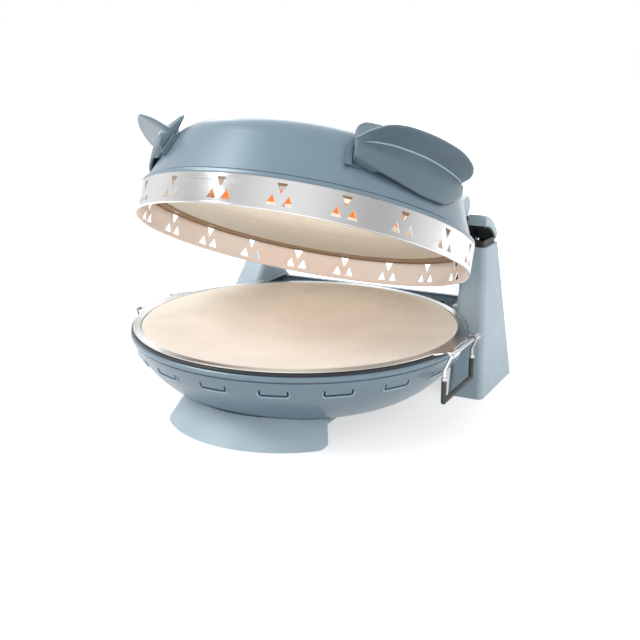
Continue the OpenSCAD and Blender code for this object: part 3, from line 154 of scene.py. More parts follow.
class PizzaMakerFinishes(PropertyGroup):
    """Colours of the object's finishes."""

    paint: colour_property("Paint", "Satin paint of the bowl and the dome", (0.172, 0.252, 0.313))
    moulding: colour_property("Moulding", "Pale moulded foot, stand and caps", (0.425, 0.530, 0.595))
    handle: colour_property("Handle", "Moulded fins of the lid's handles", (0.136, 0.200, 0.238))
    steel: colour_property("Steel", "Polished sheet and wire", (0.80, 0.80, 0.81))
    stone: colour_property("Stone", "Baking stone", (0.80, 0.75, 0.68))
    ceiling: colour_property("Ceiling", "Bright pressed ceiling of the lid", (0.95, 0.90, 0.80))
    band_inside: colour_property("Band inside", "Heat-tinted inner face of the band", (0.88, 0.80, 0.755))
    glow: colour_property("Glow", "Colour of the upper tube at working heat", (1.0, 0.22, 0.02))


class PizzaMakerDetails(PropertyGroup):
    """Sizes of the fine pieces."""

    grain: FloatProperty(
        name="Grain", description="Size of the moulded surface's grain", default=0.0011, unit="LENGTH"
    )
    flake: FloatProperty(
        name="Paint flake", description="Size of the paint's fine flake", default=0.0004, unit="LENGTH"
    )
    glow_strength: FloatProperty(
        name="Glow strength", description="Light given off by the upper tube", default=0.95
    )
    handle_rings: IntProperty(
        name="Handle rings", description="Cross-sections along a lid handle", default=72
    )
    edge_round: FloatProperty(
        name="Edge rounding", description="Rounding of the handles' edges, in millimetres", default=0.9
    )
    tick_count: IntProperty(
        name="Dial ticks", description="Printed ticks round the control knob", default=11
    )
    rib_count: IntProperty(
        name="Knob ribs", description="Grip ribs round the control knob", default=30
    )


class PizzaMakerStudio(PropertyGroup):
    """Camera and light of the studio."""

    azimuth: FloatProperty(
        name="Azimuth", description="Camera's turn round the object, in degrees", default=28.0
    )
    elevation: FloatProperty(
        name="Elevation", description="Camera's height over the horizon, in degrees", default=14.137
    )
    distance: FloatProperty(
        name="Distance", description="Camera's distance from its target", default=0.98636, unit="LENGTH"
    )
    target_z: FloatProperty(
        name="Target height", description="Height of the camera's target", default=0.110, unit="LENGTH"
    )
    lens: FloatProperty(
        name="Lens", description="Focal length in millimetres on a 36 mm sensor", default=56.096
    )
    world_light: FloatProperty(
        name="World light", description="Strength of the even light all round", default=0.68
    )


def looks():
    """The scene's finish settings."""
    return bpy.context.scene.pizza_maker_finishes


def details():
    """The scene's detail settings."""
    return bpy.context.scene.pizza_maker_details


# Node helpers


def add_node(tree, kind, inputs=None, **settings):
    """A node of this kind with its settings and input values."""
    node = tree.nodes.new(kind)
    for key, value in settings.items():
        setattr(node, key, value)
    for key, value in (inputs or {}).items():
        node.inputs[key].default_value = value
    return node


def surface(name, colour, roughness, metallic=0.0, coat=0.0, coat_roughness=0.1, specular=0.5):
    """A material with a principled shader, and its tree and shader."""
    made = bpy.data.materials.new(name)
    made.use_nodes = True
    tree = made.node_tree
    shader = tree.nodes["Principled BSDF"]
    shader.inputs["Base Color"].default_value = (*colour, 1)
    shader.inputs["Roughness"].default_value = roughness
    shader.inputs["Metallic"].default_value = metallic
    shader.inputs["Coat Weight"].default_value = coat
    shader.inputs["Coat Roughness"].default_value = coat_roughness
    shader.inputs["Specular IOR Level"].default_value = specular
    return made, tree, shader


def object_coordinates(tree):
    """Object coordinates, in metres at rest."""
    return add_node(tree, "ShaderNodeTexCoord").outputs["Object"]


def noise(tree, vector, size, detail=3.0):
    """Noise whose cells are about this many metres."""
    node = add_node(tree, "ShaderNodeTexNoise", {"Scale": 1.0 / size, "Detail": detail, "Roughness": 0.55})
    tree.links.new(vector, node.inputs["Vector"])
    return node.outputs["Fac"]


def remap(tree, value, low_in, high_in, low_out, high_out):
    """A value brought from one range to another."""
    node = add_node(
        tree,
        "ShaderNodeMapRange",
        {"From Min": low_in, "From Max": high_in, "To Min": low_out, "To Max": high_out},
    )
    tree.links.new(value, node.inputs["Value"])
    return node.outputs["Result"]


def tint(tree, factor, first, second):
    """A colour between two colours."""
    node = add_node(tree, "ShaderNodeMix", data_type="RGBA")
    node.inputs[6].default_value = (*first, 1)
    node.inputs[7].default_value = (*second, 1)
    tree.links.new(factor, node.inputs[0])
    return node.outputs[2]


def bump(tree, shader, height, depth, strength=1.0, chain=None):
    """Bumps of this depth in metres on the shader, over an earlier bump if there is one."""
    node = add_node(tree, "ShaderNodeBump", {"Strength": strength, "Distance": depth})
    tree.links.new(height, node.inputs["Height"])
    if chain is not None:
        tree.links.new(chain, node.inputs["Normal"])
    tree.links.new(node.outputs["Normal"], shader.inputs["Normal"])
    return node.outputs["Normal"]


def scaled(colour, factor):
    """A colour made lighter or darker."""
    return tuple(min(1.0, channel * factor) for channel in colour)


def around_axis(tree, in_lid):
    """Coordinates for turned or rolled metal: angle round the bowl's axis, radius and height."""
    vector = object_coordinates(tree)
    shift = add_node(tree, "ShaderNodeMapping")
    if in_lid:
        shift.inputs["Location"].default_value = -HINGE
    else:
        shift.inputs["Location"].default_value = (0, -BOWL_Y, 0)
    tree.links.new(vector, shift.inputs["Vector"])
    vector = shift.outputs["Vector"]
    if in_lid:
        turn = add_node(tree, "ShaderNodeMapping")
        turn.inputs["Rotation"].default_value = (LID_OPEN, 0, 0)
        turn.inputs["Location"].default_value = (0, HINGE.y - BOWL_Y, HINGE.z)
        tree.links.new(vector, turn.inputs["Vector"])
        vector = turn.outputs["Vector"]
    split = add_node(tree, "ShaderNodeSeparateXYZ")
    tree.links.new(vector, split.inputs["Vector"])
    angle = add_node(tree, "ShaderNodeMath", operation="ARCTAN2")
    tree.links.new(split.outputs["X"], angle.inputs[0])
    tree.links.new(split.outputs["Y"], angle.inputs[1])
    flat = add_node(tree, "ShaderNodeVectorMath", {1: (1, 1, 0)}, operation="MULTIPLY")
    tree.links.new(vector, flat.inputs[0])
    radius = add_node(tree, "ShaderNodeVectorMath", operation="LENGTH")
    tree.links.new(flat.outputs["Vector"], radius.inputs[0])
    return angle.outputs[0], radius.outputs["Value"], split.outputs["Z"]


def joined(tree, x, y, z, factors):
    """A vector of three values, each times its factor."""
    join = add_node(tree, "ShaderNodeCombineXYZ")
    for value, key in ((x, "X"), (y, "Y"), (z, "Z")):
        tree.links.new(value, join.inputs[key])
    scale = add_node(tree, "ShaderNodeVectorMath", {1: factors}, operation="MULTIPLY")
    tree.links.new(join.outputs["Vector"], scale.inputs[0])
    return scale.outputs["Vector"]


# Finishes


def satin_paint(name, colour):
    """Baked satin paint on pressed steel: fine flake, faint clouds and soft orange peel."""
    made, tree, shader = surface(name, colour, 0.34, metallic=0.15, coat=0.45, coat_roughness=0.28)
    place = object_coordinates(tree)
    flake = noise(tree, place, details().flake, detail=1.0)
    cloud = noise(tree, place, 0.06, detail=2.0)
    mixed = add_node(tree, "ShaderNodeMath", operation="ADD")
    tree.links.new(remap(tree, flake, 0.3, 0.7, -0.18, 0.18), mixed.inputs[0])
    tree.links.new(remap(tree, cloud, 0.35, 0.65, 0.4, 0.6), mixed.inputs[1])
    tree.links.new(
        tint(tree, mixed.outputs[0], scaled(colour, 0.90), scaled(colour, 1.12)),
        shader.inputs["Base Color"],
    )
    tree.links.new(remap(tree, cloud, 0.3, 0.7, 0.30, 0.40), shader.inputs["Roughness"])
    peel = noise(tree, place, 0.0026, detail=2.0)
    bump(tree, shader, peel, 0.00004, 0.5)
    return made


def grained_moulding(name, colour, roughness=0.46):
    """Moulded plastic with a fine spark-eroded grain and faint flow clouds."""
    made, tree, shader = surface(name, colour, roughness, specular=0.45)
    place = object_coordinates(tree)
    grain = noise(tree, place, details().grain, detail=2.0)
    cloud = noise(tree, place, 0.035, detail=3.0)
    tree.links.new(
        tint(tree, remap(tree, cloud, 0.3, 0.7, 0, 1), scaled(colour, 0.94), scaled(colour, 1.06)),
        shader.inputs["Base Color"],
    )
    tree.links.new(
        remap(tree, grain, 0.3, 0.7, roughness - 0.05, roughness + 0.06), shader.inputs["Roughness"]
    )
    bump(tree, shader, grain, 0.00003, 0.6)
    return made


def rolled_steel(name, colour, in_lid, roughness=0.16, streak=700.0):
    """Polished steel: hair lines along the rolling direction, and painted reflections as a soft light and
    dark tone round the roll.
    """
    made, tree, shader = surface(name, colour, roughness, metallic=1.0)
    angle, radius, height = around_axis(tree, in_lid)
    lines = add_node(tree, "ShaderNodeTexNoise", {"Scale": 1.0, "Detail": 4.0, "Roughness": 0.6})
    tree.links.new(joined(tree, angle, radius, height, (5.0, streak, streak)), lines.inputs["Vector"])
    # Painted reflections: the colour swings between a darker and a lighter share of the steel round the
    # roll
    turned = add_node(tree, "ShaderNodeMath", {1: PAINTED_REFLECTION_WAVES, 2: PAINTED_REFLECTION_PHASE}, operation="MULTIPLY_ADD")
    tree.links.new(angle, turned.inputs[0])
    wave = add_node(tree, "ShaderNodeMath", operation="COSINE")
    tree.links.new(turned.outputs[0], wave.inputs[0])
    tone = remap(tree, wave.outputs[0], -1, 1, 0, 1)
    sheet = tint(tree, tone, scaled(colour, 0.54), scaled(colour, 0.95))
    if in_lid:
        sheet = warm_inside(tree, shader, radius, sheet)
    tree.links.new(sheet, shader.inputs["Base Color"])
    tree.links.new(
        remap(tree, lines.outputs["Fac"], 0.3, 0.7, roughness - 0.03, roughness + 0.06),
        shader.inputs["Roughness"],
    )
    bump(tree, shader, lines.outputs["Fac"], 0.000006, 0.4)
    return made


def warm_inside(tree, shader, radius, sheet):
    """The band's inner face: steel that has taken a warm cast from the heat, with a faint painted glow of
    the tube's light on it.
    """
    middle = BAND_R - WARM_DEPTH
    inner = remap(tree, radius, (middle + WARM_BLEND) * MM, (middle - WARM_BLEND) * MM, 0, 1)
    node = add_node(tree, "ShaderNodeMix", data_type="RGBA")
    node.inputs[7].default_value = (*looks().band_inside, 1)
    tree.links.new(inner, node.inputs[0])
    tree.links.new(sheet, node.inputs[6])
    # Painted light: the inner face glows faintly in its warm colour, standing for the tube's light on it
    shader.inputs["Emission Color"].default_value = (*looks().band_inside, 1)
    tree.links.new(remap(tree, inner, 0, 1, 0.0, 0.16), shader.inputs["Emission Strength"])
    tree.links.new(remap(tree, inner, 0, 1, 1.0, 0.35), shader.inputs["Metallic"])
    return node.outputs[2]


def plain_metal(name, colour, roughness, metallic=1.0):
    """Plated, painted or oxidised metal with dull spots and a fine unevenness."""
    made, tree, shader = surface(name, colour, roughness, metallic=metallic)
    place = object_coordinates(tree)
    spots = noise(tree, place, 0.004, detail=4.0)
    fine = noise(tree, place, 0.0007, detail=2.0)
    tree.links.new(
        tint(tree, remap(tree, spots, 0.35, 0.65, 0, 1), scaled(colour, 0.82), colour),
        shader.inputs["Base Color"],
    )
    tree.links.new(
        remap(tree, spots, 0.3, 0.7, roughness - 0.06, roughness + 0.1), shader.inputs["Roughness"]
    )
    bump(tree, shader, fine, 0.00003, 0.5)
    return made


def baked_stone(name, colour):
    """Dry pressed stone: pores, fine sandy speckle and faint baked clouds."""
    made, tree, shader = surface(name, colour, 0.86, specular=0.2)
    place = object_coordinates(tree)
    cloud = noise(tree, place, 0.045, detail=5.0)
    speck = noise(tree, place, 0.0012, detail=3.0)
    mixed = add_node(tree, "ShaderNodeMath", operation="ADD")
    tree.links.new(remap(tree, cloud, 0.3, 0.7, 0.2, 0.7), mixed.inputs[0])
    tree.links.new(remap(tree, speck, 0.3, 0.7, -0.25, 0.3), mixed.inputs[1])
    tree.links.new(
        tint(tree, mixed.outputs[0], scaled(colour, 0.88), scaled(colour, 1.10)),
        shader.inputs["Base Color"],
    )
    pores = add_node(tree, "ShaderNodeTexVoronoi", {"Scale": 420.0, "Randomness": 1.0})
    tree.links.new(place, pores.inputs["Vector"])
    first = bump(tree, shader, remap(tree, pores.outputs["Distance"], 0.05, 0.35, 0, 1), 0.00012, 0.5)
    bump(tree, shader, speck, 0.0001, 0.5, first)
    return made


def warm_ceiling(name, colour):
    """Bright pressed sheet with a painted glow of the tube's light, strongest at its middle, and darker
    towards its rim.
    """
    made, tree, shader = surface(name, colour, 0.42, metallic=0.15)
    radius = around_axis(tree, True)[1]
    cloud = noise(tree, object_coordinates(tree), 0.03, detail=4.0)
    # The colour darkens towards the rim
    edge = remap(tree, radius, 0.105, 0.150, 0.0, 1.0)
    tree.links.new(tint(tree, edge, colour, scaled(colour, 0.7)), shader.inputs["Base Color"])
    tree.links.new(remap(tree, cloud, 0.3, 0.7, 0.36, 0.50), shader.inputs["Roughness"])
    # Painted light: the sheet glows, brightest at its middle, standing for the tube's light on it
    shader.inputs["Emission Color"].default_value = (*CEILING_LIGHT, 1)
    tree.links.new(
        remap(tree, radius, CEILING_MIDDLE_R, CEILING_OUTER_R, CEILING_BRIGHT, CEILING_DIM),
        shader.inputs["Emission Strength"],
    )
    bump(tree, shader, cloud, 0.0003, 0.4)
    return made


def glowing_tube(name, colour):
    """Heating tube at working heat, uneven along its length."""
    made, tree, shader = surface(name, (0.25, 0.08, 0.04), 0.6)
    heat = noise(tree, object_coordinates(tree), 0.02, detail=2.0)
    tree.links.new(
        tint(tree, remap(tree, heat, 0.3, 0.7, 0, 1), scaled(colour, 0.85), colour),
        shader.inputs["Emission Color"],
    )
    shader.inputs["Emission Strength"].default_value = details().glow_strength
    return made


def rubber(name, colour):
    """Matt heat-proof sleeve or pad with a dusty nap."""
    made, tree, shader = surface(name, colour, 0.62, specular=0.35)
    place = object_coordinates(tree)
    nap = noise(tree, place, 0.0008, detail=3.0)
    dust = noise(tree, place, 0.012, detail=4.0)
    tree.links.new(
        tint(tree, remap(tree, dust, 0.4, 0.75, 0, 1), colour, scaled(colour, 1.7)),
        shader.inputs["Base Color"],
    )
    bump(tree, shader, nap, 0.00005, 0.6)
    return made


def woven_sleeve(name, colour):
    """Braided heat sleeve of the lead."""
    made, tree, shader = surface(name, colour, 0.8)
    weave = add_node(tree, "ShaderNodeTexWave", {"Scale": 260.0, "Distortion": 1.5, "Detail": 1.0})
    tree.links.new(object_coordinates(tree), weave.inputs["Vector"])
    tree.links.new(
        tint(tree, weave.outputs["Fac"], scaled(colour, 0.6), colour), shader.inputs["Base Color"]
    )
    bump(tree, shader, weave.outputs["Fac"], 0.0002, 0.6)
    return made


def amber_lens(name, colour):
    """Clear-tinted lamp lens with a faceted inside."""
    made, tree, shader = surface(name, colour, 0.12, coat=0.6)
    facets = add_node(tree, "ShaderNodeTexVoronoi", {"Scale": 900.0})
    tree.links.new(object_coordinates(tree), facets.inputs["Vector"])
    tree.links.new(
        tint(tree, facets.outputs["Distance"], colour, scaled(colour, 1.8)), shader.inputs["Base Color"]
    )
    bump(tree, shader, facets.outputs["Distance"], 0.0001, 0.4)
    return made


# Mesh helpers


def give(obj, material):
    """The object shows this one material."""
    obj.data.materials.clear()
    obj.data.materials.append(material)


def soften(mesh, angle):
    """Smooth shading that keeps edges sharper than this angle."""
    mesh.shade_smooth()
    made = bmesh.new()
    made.from_mesh(mesh)
    limit = math.radians(angle)
    for edge in made.edges:
        if len(edge.link_faces) == 2 and edge.calc_face_angle(0) > limit:
            edge.smooth = False
    made.to_mesh(mesh)
    made.free()


def new_piece(name, made, material, body, angle=40.0):
    """An object from a bmesh, with its finish, riding on a body."""
    if not made.faces:
        raise RuntimeError(f"{name} has no faces")
    bmesh.ops.recalc_face_normals(made, faces=made.faces)
    mesh = bpy.data.meshes.new(name)
    made.to_mesh(mesh)
    made.free()
    soften(mesh, angle)
    obj = bpy.data.objects.new(name, mesh)
    bpy.context.scene.collection.objects.link(obj)
    give(obj, material)
    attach(obj, body)
    return obj


def skin(made, rings):
    """Join rings of vertices by faces and close the two ends."""
    for first, second in zip(rings, rings[1:]):
        for k in range(len(first)):
            after = (k + 1) % len(first)
            made.faces.new((first[k], first[after], second[after], second[k]))
    made.faces.new(list(reversed(rings[0])))
    made.faces.new(rings[-1])


def tapered(tip, swell, reach):
    """A rod's radius that grows from its tips over this share of its length."""
    return lambda way: tip + swell * min(1.0, way / reach, (1 - way) / reach)


def rod(made, place, path, radius, sides=8):
    """Add a closed rod along a path; radius is a function of the share of the way along."""
    rings = []
    side = (path[1] - path[0]).orthogonal()
    for i, point in enumerate(path):
        along = (path[min(i + 1, len(path) - 1)] - path[max(i - 1, 0)]).normalized()
        side = (side - along * side.dot(along)).normalized()
        up = along.cross(side)
        size = radius(i / (len(path) - 1))
        ring = []
        for k in range(sides):
            turn = math.tau * k / sides
            out = side * math.cos(turn) + up * math.sin(turn)
            ring.append(made.verts.new(place @ (point + out * size)))
        rings.append(ring)
    skin(made, rings)


def drum(made, place, radius, depth, top_radius=None):
    """Add a closed round drum that stands on its place's XY plane."""
    bmesh.ops.create_cone(
        made,
        cap_ends=True,
        segments=32,
        radius1=radius,
        radius2=radius if top_radius is None else top_radius,
        depth=depth,
        matrix=place @ Matrix.Translation((0, 0, depth / 2)),
    )


def block(made, place, low, high):
    """Add a closed block between two corners."""
    low, high = Vector(low), Vector(high)
    fitted = Matrix.Translation((low + high) / 2) @ Matrix.Diagonal((*(high - low), 1))
    bmesh.ops.create_cube(made, size=1.0, matrix=place @ fitted)


def cross_recess_shade(made, place, reach):
    """Add a dark cross of painted shade for a screw's recess, lying on its place's XY plane."""
    for turn in (0, 90):
        block(
            made,
            place @ Matrix.Rotation(math.radians(turn), 4, "Z"),
            (-reach, -reach * 0.17, 0),
            (reach, reach * 0.17, 0.05),
        )


def face_place(frame_matrix, origin, out, up):
    """A place in millimetres on a face: Z points out of it and X points up along it."""
    out, up = Vector(out).normalized(), Vector(up)
    up = (up - out * up.dot(out)).normalized()
    across = out.cross(up)
    turn = Matrix((up, across, out)).transposed().to_4x4()
    return frame_matrix @ Matrix.Translation(origin) @ turn


def bowl_radius(z):
    """Outer radius of the bowl's side at a height."""
    share = (z - BOWL_BOTTOM_Z) / (BOWL_SHOULDER_Z - BOWL_BOTTOM_Z)
    return BOWL_BOTTOM_R + (BOWL_SHOULDER_R - BOWL_BOTTOM_R) * (
        1 - (1 - share) ** BOWL_FULLNESS
    ) ** (1 / BOWL_FULLNESS)


def cover_place(x, z, lift=0.0):
    """A place on the back face of the stand's bridge."""
    share = (z - BRIDGE_LOW[1]) / (BRIDGE_HIGH[1] - BRIDGE_LOW[1])
    back = BRIDGE_LOW[0] + (BRIDGE_HIGH[0] - BRIDGE_LOW[0]) * share
    up = Vector((0, BRIDGE_HIGH[0] - BRIDGE_LOW[0], BRIDGE_HIGH[1] - BRIDGE_LOW[1])).normalized()
    out = Vector((0, up.z, -up.y))
    return face_place(BASE_FRAME, Vector((x, back, z)) + out * lift, out, up)


def knob_place(lift=0.0):
    """The control knob's place on the left column."""
    knob = JOINTS["knob_turn"]
    out = Vector(knob["axis"])
    origin = (Vector(knob["pos_m"]) - Vector((0, BOWL_Y, 0))) / MM
    return face_place(BASE_FRAME, origin + out * lift, out, (0, 0, 1))


# Lid handles and fine pieces


def lookup(table, share):
    """The value of a table at this share, straight between its points."""
    for (low, first), (high, second) in zip(table, table[1:]):
        if share <= high:
            return first + (second - first) * max(0.0, (share - low) / (high - low))
    return table[-1][1]


def flowing(table, share, reach=0.035):
    """The table's value with its corners rounded off over this reach."""
    span = min(reach, share, 1 - share)
    return sum(lookup(table, share + span * k / 4) for k in range(-4, 5)) / 9


def dome_at(z):
    """Radius of the dome's leaning side at a height in the closed lid."""
    return DOME_R - (z - DOME_Z) * math.tan(DOME_LEAN)


def handle_section(share):
    """Outline of a handle's three fins, as radius and height in the closed lid."""

    def toward_dome(radius, z, fill):
        return radius + (dome_at(z) + SPACER_T / math.cos(DOME_LEAN) - radius) * fill

    def stand_off(radius, z):
        skin_radius = dome_at(z) + SKIN_GAP
        return skin_radius + (radius - skin_radius) * flowing(STAND_SHARE, share)

    wing, plate = flowing(WING_SHARE, share), flowing(PLATE_SHARE, share)
    cz = CREASE_Z + flowing(CREASE_RISE, share)
    cr = stand_off(CREASE_R, cz)
    wr = cr + (WING_R - cr) * wing
    wz = cz + (WING_Z - cz) * flowing(WING_RISE, share)
    pr, pz = cr + (PLATE_R - cr) * plate, cz + (PLATE_Z - cz) * plate
    fz = cz + (FLAP_Z - cz) * flowing(FLAP_SHARE, share)
    fr = stand_off(FLAP_R, fz)
    # At the feet the flap's inner side runs down and in to the dome
    fill = lookup(END_FILL, share)
    low = fz + 1.6 - 4.6 * fill
    mid = min((cz + fz) / 2 + 4, cz - FIN_T * 2)
    return [
        Vector(point)
        for point in (
            (cr + 0.5, cz + FIN_T),
            (max(wr - 3, cr + 2.4), wz + FIN_T * 0.42),
            (max(wr, cr + 3.6), wz),
            (max(wr - 2.4, cr + 3), wz - FIN_T * 0.5),
            (cr + 3.4, cz - FIN_T * 0.8),
            (fr + 0.6, (cz + fz) / 2 + 2),
            (fr + 1, fz + 1.6),
            (fr - FIN_T * 0.4, fz),
            (toward_dome(fr - FIN_T * 0.9, low, fill), low),
            (toward_dome(fr - FIN_T - 1.4, mid, fill), mid),
            (toward_dome(cr - 1, cz - FIN_T * 1.6, fill), cz - FIN_T * 1.6),
            (toward_dome(cr - FIN_T * 1.3, cz - FIN_T * 0.9, fill), cz - FIN_T * 0.9),
            (pr - FIN_T * 0.9, pz - 1.4),
            (pr - FIN_T * 0.4, pz),
            (pr + 0.4, pz - 1.4),
        )
    ]


def eased(points, reach):
    """A closed outline with every corner cut at this distance, or nearer on a short edge."""
    made = []
    for first, second in zip(points, points[1:] + points[:1]):
        edge = second - first
        cut = edge * min(0.3, reach / max(edge.length, 0.001))
        made += [first + cut, second - cut]
    return made


def drawn_in(points, depth):
    """A closed outline moved inwards by this depth."""
    made = []
    for before, point, after in zip(points[-1:] + points[:-1], points, points[1:] + points[:1]):
        along = (after - before).normalized()
        made.append(point + Vector((along.y, -along.x)) * depth)
    return made


def handle_point(point, share, side):
    """A point of a handle's outline, in the closed lid's millimetres."""
    angle = HANDLE_BACK + (HANDLE_FRONT - HANDLE_BACK) * share
    return Vector((side * point.x * math.cos(angle), -point.x * math.sin(angle), point.y))


def handle_skin(side):
    """A bmesh of one handle with rounded edges and ends."""
    made = bmesh.new()
    rings = details().handle_rings
    ease = details().edge_round
    stations = [(0.0, 0.5), (0.002, 0.15), (0.006, 0.0)]
    stations += [(k / rings, 0.0) for k in range(1, rings)]
    stations += [(0.994, 0.0), (0.998, 0.15), (1.0, 0.5)]
    loops = []
    for share, depth in stations:
        outline = eased(eased(handle_section(share), ease), ease * 0.4)
        outline = drawn_in(outline, depth)
        loops.append([made.verts.new(LID_FRAME @ handle_point(point, share, side)) for point in outline])
    skin(made, loops)
    return made


def crease_bead(side):
    """A bmesh of the fine raised line along a handle's crease."""
    made = bmesh.new()
    path = []
    for k in range(BEAD_STEPS + 1):
        share = BEAD_MARGIN + (1 - 2 * BEAD_MARGIN) * k / BEAD_STEPS
        crease = handle_section(share)[CREASE_POINT] + Vector((BEAD_LIFT, 0.0))
        path.append(handle_point(crease, share, side))
    rod(made, LID_FRAME, path, tapered(0.2, 0.8, 0.1))
    return made


def louvre_lips():
    """A bmesh of the raised lip under each louvre of the bowl."""
    made = bmesh.new()
    out, tuck, steps = 1.1, 0.4, 8
    corners = [
        (-SLOT_HALF - out, SLOT_RISE),
        (-SLOT_HALF - out, -tuck),
        (-SLOT_HALF + SLOT_H - tuck, -SLOT_H - out),
        (SLOT_HALF - SLOT_H + tuck, -SLOT_H - out),
        (SLOT_HALF + out, -tuck),
        (SLOT_HALF + out, SLOT_RISE),
    ]
    for slot in range(SLOT_COUNT):
        place = BASE_FRAME @ Matrix.Rotation(math.tau * slot / SLOT_COUNT, 4, "Z")
        path = []
        for first, second in zip(corners, corners[1:]):
            for k in range(steps):
                x, rise = Vector(first).lerp(Vector(second), k / steps)
                radius = bowl_radius(SLOT_Z + rise) + 0.1
                angle = x / radius
                path.append(Vector((radius * math.sin(angle), -radius * math.cos(angle), SLOT_Z + rise)))
        rod(made, place, path, tapered(0.1, 1.0, 0.15))
    return made


def knob_ribs():
    """A bmesh of the grip ribs round the control knob."""
    made = bmesh.new()
    count = details().rib_count
    flank = ((16.9, 1.8), (16.2, 6.0), (15.5, 9.8))
    for k in range(count):
        angle = math.tau * k / count
        path = [
            Vector((radius * math.cos(angle), radius * math.sin(angle), height)) for radius, height in flank
        ]
        rod(made, knob_place(), path, lambda way: 0.55)
    return made


def dial_ticks():
    """A bmesh of the printed ticks over the knob's range."""
    made = bmesh.new()
    count = details().tick_count
    sweep, inner, outer, half = 270, 18.0, 20.2, 0.3
    for k in range(count):
        turn = Matrix.Rotation(math.radians(sweep * k / (count - 1) - sweep / 2), 4, "Z")
        block(made, knob_place() @ turn, (inner, -half, -0.1), (outer, half, 0.06))
    return made


def cover_screen():
    """A bmesh of the wire screen inside the cover's vents."""
    made = bmesh.new()
    low_x, high_x, low_z, high_z = -62.0, -8.0, 33.0, 55.0
    pitch, wire_half, wire_t, gap = 2.4, 0.18, 0.3, 0.1
    half_x, half_z = (high_x - low_x) / 2, (high_z - low_z) / 2
    for k in range(int((high_x - low_x) / pitch) + 1):
        place = cover_place(low_x + pitch * k, (low_z + high_z) / 2, -COVER_T - gap)
        block(made, place, (-half_z, -wire_half, -wire_t), (half_z, wire_half, 0.0))
    for k in range(int((high_z - low_z) / pitch) + 1):
        place = cover_place((low_x + high_x) / 2, low_z + pitch * k, -COVER_T - wire_t)
        block(made, place, (-wire_half, -half_x, -wire_t), (wire_half, half_x, 0.0))
    return made


def cover_recess_shades():
    """A bmesh of the painted shade in the recesses of the cover's screws."""
    made = bmesh.new()
    head_face = 2.03
    for x in (-COVER_SCREW_X, COVER_SCREW_X):
        cross_recess_shade(made, cover_place(x, COVER_MID_Z, head_face), 1.5)
    return made


def arm_recess_shades():
    """A bmesh of the painted shade in the recesses of the hinge arms' screws."""
    made = bmesh.new()
    for side in (1, -1):
        for before, above in ARM_SCREWS:
            origin = (side * ARM_SCREW_X, HINGE_Y - before, HINGE_Z + above)
            cross_recess_shade(made, face_place(LID_FRAME, origin, (-side, 0, 0), (0, 0, 1)), 1.6)
    return made


def gland_ribs():
    """A bmesh of the ribs round the cord gland's tapered nose."""
    made = bmesh.new()
    first, pitch, count = 4.2, 1.9, 4
    nose_start, nose_r, taper = 3.0, 8.3, 0.278
    for k in range(count):
        height = first + pitch * k
        drum(made, cover_place(GLAND_X, GLAND_Z, height), nose_r - (height - nose_start) * taper, 0.8)
    return made


def bail_ferrules(side):
    """A bmesh of the ferrules on top of a bail's sleeve."""
    made = bmesh.new()
    for end in (-1, 1):
        centre = (side * (BAIL_REACH - BAIL_SET), end * BAIL_LEG_Y, SLEEVE_TOP_Z - 0.8)
        drum(made, BASE_FRAME @ Matrix.Translation(centre), 2.7, 2.8, top_radius=2.4)
    return made


def tray_spot_welds():
    """A bmesh of the spot welds on the tray's two tabs."""
    made = bmesh.new()
    for side in (1, -1):
        for y in (-28, -14, 14, 28):
            centre = (side * 167.0, y, TRAY_TOP - 0.05)
            drum(made, BASE_FRAME @ Matrix.Translation(centre), 1.6, 0.16, top_radius=1.1)
    return made


def band_seam():
    """A bmesh of the band's lap seam and the welds beside it."""
    made = bmesh.new()
    inner, outer = BAND_R - 1.0, BAND_R - 0.12
    turn = LID_FRAME @ Matrix.Rotation(math.radians(98), 4, "Z")
    block(made, turn, (inner, -0.8, BAND_Z + 3.2), (outer, 0.8, BAND_TOP - 1.2))
    for k in range(5):
        place = turn @ Matrix.Translation((inner, -3.2, BAND_Z + 5.5 + 4.6 * k))
        drum(made, place @ Matrix.Rotation(math.radians(90), 4, "Y"), 1.1, 0.78)
    return made


def tube_beads():
    """A bmesh of the ceramic beads where the upper tube's ends meet the ceiling."""
    made = bmesh.new()
    bead_h = 2.6
    turn = LID_FRAME @ Matrix.Rotation(math.radians(-20), 4, "Z")
    for radius, ceiling in ((122.0, 127.6), (102.0, 131.6)):
        place = turn @ Matrix.Translation((radius, 0, ceiling - bead_h))
        drum(made, place, 5.6, bead_h, top_radius=6.0)
    return made


# Studio


def ray_kind(tree, *kinds):
    """1 for a ray of any of these kinds, and 0 for another."""
    rays = add_node(tree, "ShaderNodeLightPath")
    seen = rays.outputs[kinds[0]]
    for kind in kinds[1:]:
        either = add_node(tree, "ShaderNodeMath", operation="MAXIMUM")
        tree.links.new(seen, either.inputs[0])
        tree.links.new(rays.outputs[kind], either.inputs[1])
        seen = either.outputs[0]
    return seen


def studio_floor():
    """White floor that keeps the object's shadow; its own light only shows and is mirrored."""
    made = bmesh.new()
    bmesh.ops.create_grid(made, x_segments=2, y_segments=2, size=FLOOR_HALF)
    mesh = bpy.data.meshes.new("studio_floor")
    made.to_mesh(mesh)
    made.free()
    floor = bpy.data.objects.new("studio_floor", mesh)
    bpy.context.scene.collection.objects.link(floor)
    paper, tree, shader = surface("studio_paper", (0.62, 0.62, 0.62), 0.9, specular=0.1)
    shader.inputs["Emission Color"].default_value = (1, 1, 1, 1)
    reach = add_node(tree, "ShaderNodeVectorMath", operation="LENGTH")
    tree.links.new(object_coordinates(tree), reach.inputs[0])
    bright = remap(tree, reach.outputs["Value"], FLOOR_SHADE_R, FLOOR_WHITE_R, FLOOR_SHADE, 1.0)
    kept = add_node(tree, "ShaderNodeMath", operation="MULTIPLY")
    tree.links.new(ray_kind(tree, "Is Camera Ray", "Is Glossy Ray"), kept.inputs[0])
    tree.links.new(bright, kept.inputs[1])
    tree.links.new(kept.outputs[0], shader.inputs["Emission Strength"])
    give(floor, paper)


